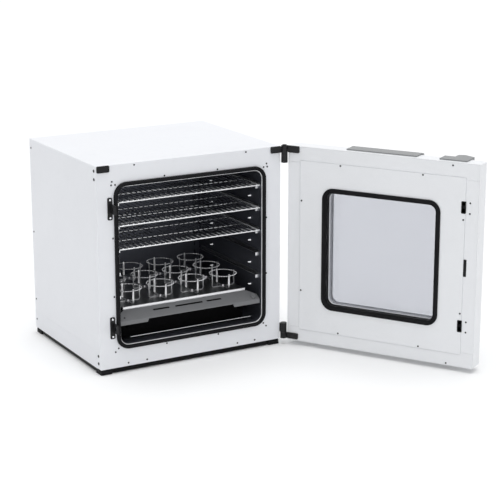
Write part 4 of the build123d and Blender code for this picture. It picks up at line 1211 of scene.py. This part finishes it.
@dataclass
class WireShelves(Assembly):
    """Wire shelves, and the bent tips of the rails that they lie on."""

    labels: tuple[str, ...] = ("upper", "middle", "lower")
    levels: tuple[float, ...] = (539.0, 465.4, 391.8)
    side: float = 245.0
    front: float = -256.5
    depth: float = 400.5
    thick: float = 2.0
    corner: float = 2.5
    fine: float = 1.5
    weld: float = 1.0
    pitch: float = 18.0
    margin: float = 10.0
    cross_count: int = 5
    cross_thick: float = 1.5
    tip: float = 0.5
    # how far back the fine wires wear the whiter wire finish, a painted highlight along the shelves' lit
    # front
    painted_highlight_reach: float = 34.0
    rail_levels: tuple[float, ...] = (539.0, 465.4, 391.8, 318.2, 244.6)
    rail_front: float = -241.5
    rail_inner: float = 239.0
    tab_across: Pair = (-0.5, 10.0)
    tab_deep: Pair = (-0.4, 1.1)
    tab_drop: Pair = (13.0, 2.6)
    tab_edge: float = 0.5
    round_sides: int = 12
    fine_sides: int = 8

    def build(self) -> None:
        """Make the tips of the rails, then each shelf."""
        # painted highlight: the tips wear the bright wire finish against the rails' darkened steel, as lit
        # and shaded copies of one steel
        self.bench.piece("rail_tips", self._rail_tips(), "wire_steel", "cabinet", slot="bright_steel")
        near, far = self.front - self.tip, self.front + self.depth + self.tip
        for label, level in zip(self.labels, self.levels):
            # painted highlight: the frame and the front stretch of fine wires wear the near-white wire
            # finish, the rest the plainer grid finish
            edge = (self._frame(level), self._grid(level, near, near + self.painted_highlight_reach))
            rest = (self._crossings(level), self._grid(level, near + self.painted_highlight_reach, far))
            for part, meshes, finish in (("frame", edge, "wire_steel"), ("grid", rest, "grid_steel")):
                name = f"shelf_{part}_{label}"
                mesh = self.bench.join(meshes, name)
                self.bench.piece(name, mesh, finish, "cabinet", f"shelf_{label}", "wire_steel")

    def _rail_tips(self) -> bpy.types.Mesh:
        """The tab that is bent down at each rail's front end.

        Returns:
            The mesh, in metres.
        """
        tabs = []
        for level in self.rail_levels:
            for side in SIDES:
                left, right = sorted(side * (self.rail_inner + out) for out in self.tab_across)
                low = (left, self.rail_front + self.tab_deep[0], level - self.tab_drop[0])
                high = (right, self.rail_front + self.tab_deep[1], level - self.tab_drop[1])
                tabs.append(Bench.block("tab", low, high, self.tab_edge))
        return self.bench.join(tabs, "rail_tips")

    def _wires(self, runs: Sequence[Sequence[Point]], radius: float, sides: int,
               bend: float = 0.0) -> bpy.types.Mesh:
        """Bright wires along several runs of points."""
        return self.trees.wires("wires", runs, radius, sides, "wire_steel", bend)

    def _frame(self, level: float) -> bpy.types.Mesh:
        """The border wire with bent corners.

        Args:
            level: the shelf's height.

        Returns:
            The mesh, in metres.
        """
        low, high = self.front, self.front + self.depth
        side = self.side
        corners = ((-side, low), (side, low), (side, high), (-side, high), (-side, low))
        border = [(x, y, level) for x, y in corners]
        return self._wires([border], self.thick, self.round_sides, self.corner)

    def _crossings(self, level: float) -> bpy.types.Mesh:
        """The cross wires that carry the fine ones.

        Args:
            level: the shelf's height.

        Returns:
            The mesh, in metres.
        """
        step = self.depth / (self.cross_count - 1)
        rows = [self.front + i * step for i in range(1, self.cross_count - 1)]
        runs = [[(-self.side, y, level), (self.side, y, level)] for y in rows]
        return self._wires(runs, self.cross_thick, self.round_sides)

    def _grid(self, level: float, low: float, high: float) -> bpy.types.Mesh:
        """A stretch of the fine wires, which are welded on top of the cross wires.

        Args:
            level: the shelf's height.
            low: the stretch's front end.
            high: its back end.

        Returns:
            The wires' mesh.
        """
        count = 2 * int((self.side - self.margin) / self.pitch) + 1
        z = level + self.thick + self.fine - self.weld
        columns = [(i - count // 2) * self.pitch for i in range(count)]
        return self._wires([[(x, low, z), (x, high, z)] for x in columns], self.fine, self.fine_sides)


@dataclass
class Clamps(Assembly):
    """Sprung clamps on the platform."""

    deck: float = 191.0
    centre_y: float = -32.0
    pitch: float = 114.0
    columns: int = 4
    rows: int = 3
    legs: int = 4
    radius: float = 40.0
    finger: float = 6.0
    height: float = 47.0
    sheet: float = 1.5
    hub_gap: float = 6.0
    bend: float = 5.0
    bend_angles: tuple[float, ...] = (0.0, 0.52, 1.05, 1.57)
    waist: tuple[Pair, ...] = ((-0.9, 20.0), (0.0, 34.0))
    tip: tuple[Pair, ...] = ((0.0, 5.0), (0.8, 2.2), (0.1, 1.5))
    taper: float = 0.35
    taper_from: float = 25.0
    ring_height: float = 43.0
    ring_radius: float = 43.3
    coil: float = 1.0
    coil_turns: int = 190
    coil_steps: int = 6
    coil_wire: float = 0.68
    coil_sides: int = 4

    HUB = ((0.6, 1.2), (2.4, 1.2), (2.5, 4.2), (4.4, 4.5), (5.0, 3.6),
           (5.0, 2.2), (11.0, 2.0), (12.0, 1.2), (12.0, 0.0))

    def build(self) -> None:
        """Copy the clamp to each place and wind the springs round the legs."""
        places = [((x, y, 0.0), (0.0, 0.0, 1.0)) for x, y in self.places()]
        legs = self.trees.copies("clamp_legs", self._clamp(), places, "bright_steel")
        self.bench.piece("clamp_legs", legs, "bright_steel", "platform", "flask_clamps")
        coils = [self._coil(x, y) for x, y in self.places()]
        springs = self.trees.wires("clamp_springs", coils, self.coil_wire, self.coil_sides, "wire_steel")
        self.bench.piece("clamp_springs", springs, "wire_steel", "platform", "clamp_rings")

    def places(self) -> list[Pair]:
        """The clamps' centres.

        Returns:
            Each one's place across and along the platform.
        """
        xs = [(i - (self.columns - 1) / 2) * self.pitch for i in range(self.columns)]
        ys = [self.centre_y + (j - (self.rows - 1) / 2) * self.pitch for j in range(self.rows)]
        return [(x, y) for y in ys for x in xs]

    def _leg(self) -> bpy.types.Mesh:
        """One leg: it leaves the middle flat, turns up with a round bend and ends in a rolled tip.

        Returns:
            The mesh, in metres.
        """
        r, s, bend = self.radius, self.sheet, self.bend
        line = [(self.hub_gap, 0.0)]
        line += [(r - bend + bend * math.sin(a), bend - bend * math.cos(a)) for a in self.bend_angles]
        line += [(r + out, rise) for out, rise in self.waist]
        line += [(r + out, self.height - drop) for out, drop in self.tip]
        points: list[Point] = []
        for i, (x, z) in enumerate(line):
            before, after = line[max(i - 1, 0)], line[min(i + 1, len(line) - 1)]
            dx, dz = after[0] - before[0], after[1] - before[1]
            length = math.hypot(dx, dz)
            nx, nz = dz / length * s, -dx / length * s
            thinner = self.taper * max(0.0, (z - self.taper_from) / (self.height - self.taper_from))
            w = self.finger / 2 * (1.0 - thinner)
            points += [(x, -w, z), (x, w, z), (x + nx, w, z + nz), (x + nx, -w, z + nz)]
        low = min(p[2] for p in points)
        faces = []
        for a in range(0, 4 * (len(line) - 1), 4):
            faces += [[a + k, a + (k + 1) % 4, a + 4 + (k + 1) % 4, a + 4 + k] for k in range(4)]
        faces += [[3, 2, 1, 0], list(range(len(points) - 4, len(points)))]
        mesh = Bench.mesh("leg", [(x, y, z - low + self.deck) for x, y, z in points], faces=faces)
        with shaping(mesh) as shape:
            bmesh.ops.recalc_face_normals(shape, faces=shape.faces[:])
        return mesh

    def _clamp(self) -> bpy.types.Mesh:
        """Four legs round a pressed middle with its screw.

        Returns:
            The mesh, in metres.
        """
        parts = [self._leg() for _ in range(self.legs)]
        for number, leg in enumerate(parts):
            leg.transform(Matrix.Rotation(2 * math.pi * number / self.legs, 4, "Z"))
        hub = Bench.lathe("hub", self.HUB, hexagonal=3)
        hub.transform(Matrix.Translation((0.0, 0.0, self.deck * MM)))
        return self.bench.join([*parts, hub], "clamp")

    def _coil(self, x: float, y: float) -> list[Point]:
        """The closed line of the spring round one clamp's legs.

        Args:
            x: the clamp's place across.
            y: its place along the platform.

        Returns:
            The line's points, of which the last is the first again.
        """
        count = self.coil_turns * self.coil_steps
        line: list[Point] = []
        for i in range(count):
            around, twist = 2 * math.pi * i / count, 2 * math.pi * i / self.coil_steps
            r = self.ring_radius + self.coil * math.cos(twist)
            z = self.deck + self.ring_height + self.coil * math.sin(twist)
            line.append((x + r * math.cos(around), y + r * math.sin(around), z))
        return [*line, line[0]]


# -------------------------------------------------------------------- the door
@dataclass
class Door(Assembly):
    """Fine pieces of the door's inner side, drawn shut."""

    inner: float = -270.5
    panel: float = -269.0
    window: Loop = Loop(398.0, 400.0, 38.0, 336.0)
    rim: float = 14.0
    proud: float = 4.0
    lip: float = 4.4
    lip_proud: float = 2.4
    lip_lap: float = 0.6
    skirt_back: float = -290.0
    skirt_wall: float = 1.4
    skirt_gap: float = 0.2
    edges: Point = (1.9, 1.1, 0.4)
    low: float = 18.0
    end_screws: float = 138.0
    end_rises: Pair = (45.0, 593.0)
    side_screws: float = 272.0
    side_rises: Pair = (467.5, 171.3)
    rim_screws: tuple[Pair, ...] = ((-233.0, 631.6), (-231.0, 4.5))
    latch_x: float = -292.0
    latch_rises: Pair = (506.0, 131.0)
    latch_steps: Pair = (15.0, -18.0)

    def build(self) -> None:
        """Make the pieces."""
        screws = self.trees.screws("door_screw_heads", self.screw_places(), "black_metal")
        self.bench.piece("door_screw_heads", screws, "black_metal", "door", "door_screws")
        self.bench.piece("window_seal", self._window_seal(), "black_rubber", "door", "window_gasket")

    def screw_places(self) -> list[Place]:
        """Where each of the inner side's screws sits.

        Returns:
            Pairs of a point and the way that the head faces.
        """
        raised = [(side * self.end_screws, self.low + z) for z in self.end_rises for side in SIDES]
        raised += [(side * self.side_screws, self.low + z) for z in self.side_rises for side in SIDES]
        rim = [(x, self.low + z) for x, z in self.rim_screws]
        rises = [z + step for z in self.latch_rises for step in self.latch_steps]
        rim += [(self.latch_x, self.low + z) for z in rises]
        rows = [(x, self.panel, z) for x, z in raised] + [(x, self.inner, z) for x, z in rim]
        return [(point, (0, 1, 0)) for point in rows]

    def _window_seal(self) -> bpy.types.Mesh:
        """The seal: a flat bead, a slimmer lip towards the glass and a skirt down the sleeve.

        Returns:
            The mesh, in metres.
        """
        flat, lap, panel = self.rim - self.lip, self.lip_lap, self.panel
        bead_edge, lip_edge, skirt_edge = self.edges
        parts = ((0.0, flat, panel, panel + self.proud, bead_edge),
                 (flat - lap, self.lip + lap, panel, panel + self.lip_proud, lip_edge),
                 (self.rim + self.skirt_gap, self.skirt_wall, self.skirt_back, panel + self.proud / 2,
                  skirt_edge))
        rings = [self.trees.ring(self.window.inset(inset), *rest, "black_rubber") for inset, *rest in parts]
        return self.bench.join(rings, "window_seal")


@dataclass
class Readout(Assembly):
    """Plain numbers on the display."""

    centre: Pair = (8.0, 609.0)
    face: float = -338.3
    proud: float = 0.12
    edge: float = 0.05
    digit: Pair = (10.5, 19.0)
    stroke: float = 2.4
    gap: int = 3
    dot: float = 1.2
    lines: tuple[tuple[str, float], ...] = (("37.0", 14.0), ("120", -14.0))

    SEGMENTS = {"0": "abcdef", "1": "bc", "2": "abdeg", "3": "abcdg", "7": "abc"}

    def build(self) -> None:
        """Set both lines of numbers."""
        pitch = self.digit[0] + self.gap * self.stroke
        bars: list[bpy.types.Mesh] = []
        for text, rise in self.lines:
            x = self.centre[0] - pitch * (len(text.replace(".", "")) - 1) / 2
            z = self.centre[1] + rise
            for mark in text:
                if mark == ".":
                    dot_x, dot_z, half = x - pitch / 2, z - self.digit[1] / 2, self.dot
                    low, high = (dot_x - half, dot_z - half), (dot_x + half, dot_z + half)
                    bars.append(self._bar("dot", low, high))
                else:
                    bars += self._bars(mark, x, z)
                    x += pitch
        mesh = self.bench.join(bars, "display_numbers")
        self.bench.piece("display_numbers", mesh, "lit_segments", "door", slot="display")

    def _bar(self, name: str, low: Pair, high: Pair) -> bpy.types.Mesh:
        """One lit bar between two corners, each across and up."""
        corner, across = (low[0], self.face - self.proud, low[1]), (high[0], self.face, high[1])
        return Bench.block(name, corner, across, self.edge, 1)

    def _bars(self, which: str, x: float, z: float) -> list[bpy.types.Mesh]:
        """The lit bars of one digit.

        Args:
            which: the digit.
            x: its middle across.
            z: its middle's height.

        Returns:
            A mesh for each bar.
        """
        w, h, t = self.digit[0] / 2, self.digit[1] / 2, self.stroke / 2
        flat = {"a": h, "g": 0.0, "d": -h}
        tall = {"f": (-w, 1), "b": (w, 1), "e": (-w, -1), "c": (w, -1)}
        bars = []
        for name in self.SEGMENTS[which]:
            if name in flat:
                low, high = (x - w + t, z + flat[name] - t), (x + w - t, z + flat[name] + t)
            else:
                side, up = tall[name]
                ends = sorted((up * t, up * (h - t)))
                low, high = (x + side - t, z + ends[0]), (x + side + t, z + ends[1])
            bars.append(self._bar("bar", low, high))
        return bars


# ------------------------------------------------------------------ the studio
@dataclass
class Studio:
    """Pale floor, soft light and the camera."""

    camera_at: Point = (-2.1856, -4.4143, 1.6179)
    yaw: float = 29.943
    pitch: float = 15.010
    lens: float = 112.36
    sensor: float = 36.0
    sight: float = 100.0
    floor_reach: float = 40e3
    floor_white: Colour = (0.93, 0.93, 0.93)
    floor_rough: float = 0.8
    floor_sheen: float = 0.1
    sky: float = 0.55
    sky_colour: Colour = (0.97, 0.985, 1.0)
    sun: float = 1.7
    sun_spread: float = 50.0
    front: float = 0.52
    front_spread: float = 80.0
    front_turn: Pair = (62.0, -22.0)

    def build(self) -> None:
        """Set up the floor, the light and the camera."""
        bpy.context.scene.view_settings.view_transform = "Standard"
        self._floor()
        self._world()
        self._lamp("overhead", self.sun, self.sun_spread, (0.0, 0.0))
        self._lamp("front", self.front, self.front_spread, self.front_turn)
        data = bpy.data.cameras.new("camera")
        data.lens = self.lens
        data.sensor_width = self.sensor
        data.clip_end = self.sight
        camera = Bench.link("camera", data)
        camera.location = self.camera_at
        camera.rotation_euler = (math.radians(90 - self.pitch), 0.0, -math.radians(self.yaw))
        bpy.context.scene.camera = camera

    def _floor(self) -> None:
        """A broad white floor."""
        reach = self.floor_reach
        corners = ((-reach, -reach, 0), (reach, -reach, 0), (reach, reach, 0), (-reach, reach, 0))
        floor = Bench.link("floor", Bench.mesh("floor", corners, faces=[(0, 1, 2, 3)]))
        look = {"Base Color": (*self.floor_white, 1.0), "Roughness": self.floor_rough,
                "Specular IOR Level": self.floor_sheen}
        floor.data.materials.append(Shader("floor_white").surface(look))

    def _world(self) -> None:
        """A plain sky that the camera, metal and glass see as white."""
        world = bpy.data.worlds.new("studio")
        world.use_nodes = True
        graph = Graph(world.node_tree)
        seen = path = graph.add("ShaderNodeLightPath", result="Is Camera Ray")
        for ray in ("Is Transmission Ray", "Is Glossy Ray"):
            seen = graph.add("ShaderNodeMath", {"operation": "MAXIMUM"}, {0: seen, 1: path.other(ray)})
        shades = (((*self.sky_colour, 1.0), self.sky), ((1.0, 1.0, 1.0, 1.0), 1.0))
        sky, white = (graph.add("ShaderNodeBackground", {}, {"Color": colour, "Strength": strength})
                      for colour, strength in shades)
        mix = graph.add("ShaderNodeMixShader", {}, {0: seen, 1: sky, 2: white})
        graph.end("ShaderNodeOutputWorld", mix)
        bpy.context.scene.world = world

    @staticmethod
    def _lamp(name: str, energy: float, spread: float, turn: Pair) -> None:
        """A broad soft light.

        Args:
            name: the lamp's name.
            energy: its strength.
            spread: how wide it is, in degrees.
            turn: how far it leans towards the front, and then turns about the vertical, in degrees.
        """
        data = bpy.data.lights.new(name, "SUN")
        data.energy = energy
        data.angle = math.radians(spread)
        lamp = Bench.link(name, data)
        lamp.rotation_euler = (math.radians(turn[0]), 0.0, math.radians(turn[1]))


def main() -> None:
    """Dress the frame, add the fine pieces and set up the studio."""
    logging.basicConfig(level=logging.INFO, format="%(name)s: %(message)s")
    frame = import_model()
    Studio().build()
    palette = Palette()
    palette.dress_frame(frame)
    bench, trees = Bench(palette), Trees(palette)
    for assembly in (Cabinet, Mouth, WireShelves, Clamps, Door, Readout):
        assembly(bench, trees).build()
        LOG.info("%s is built", assembly.__name__)


if __name__ == "__main__":
    main()
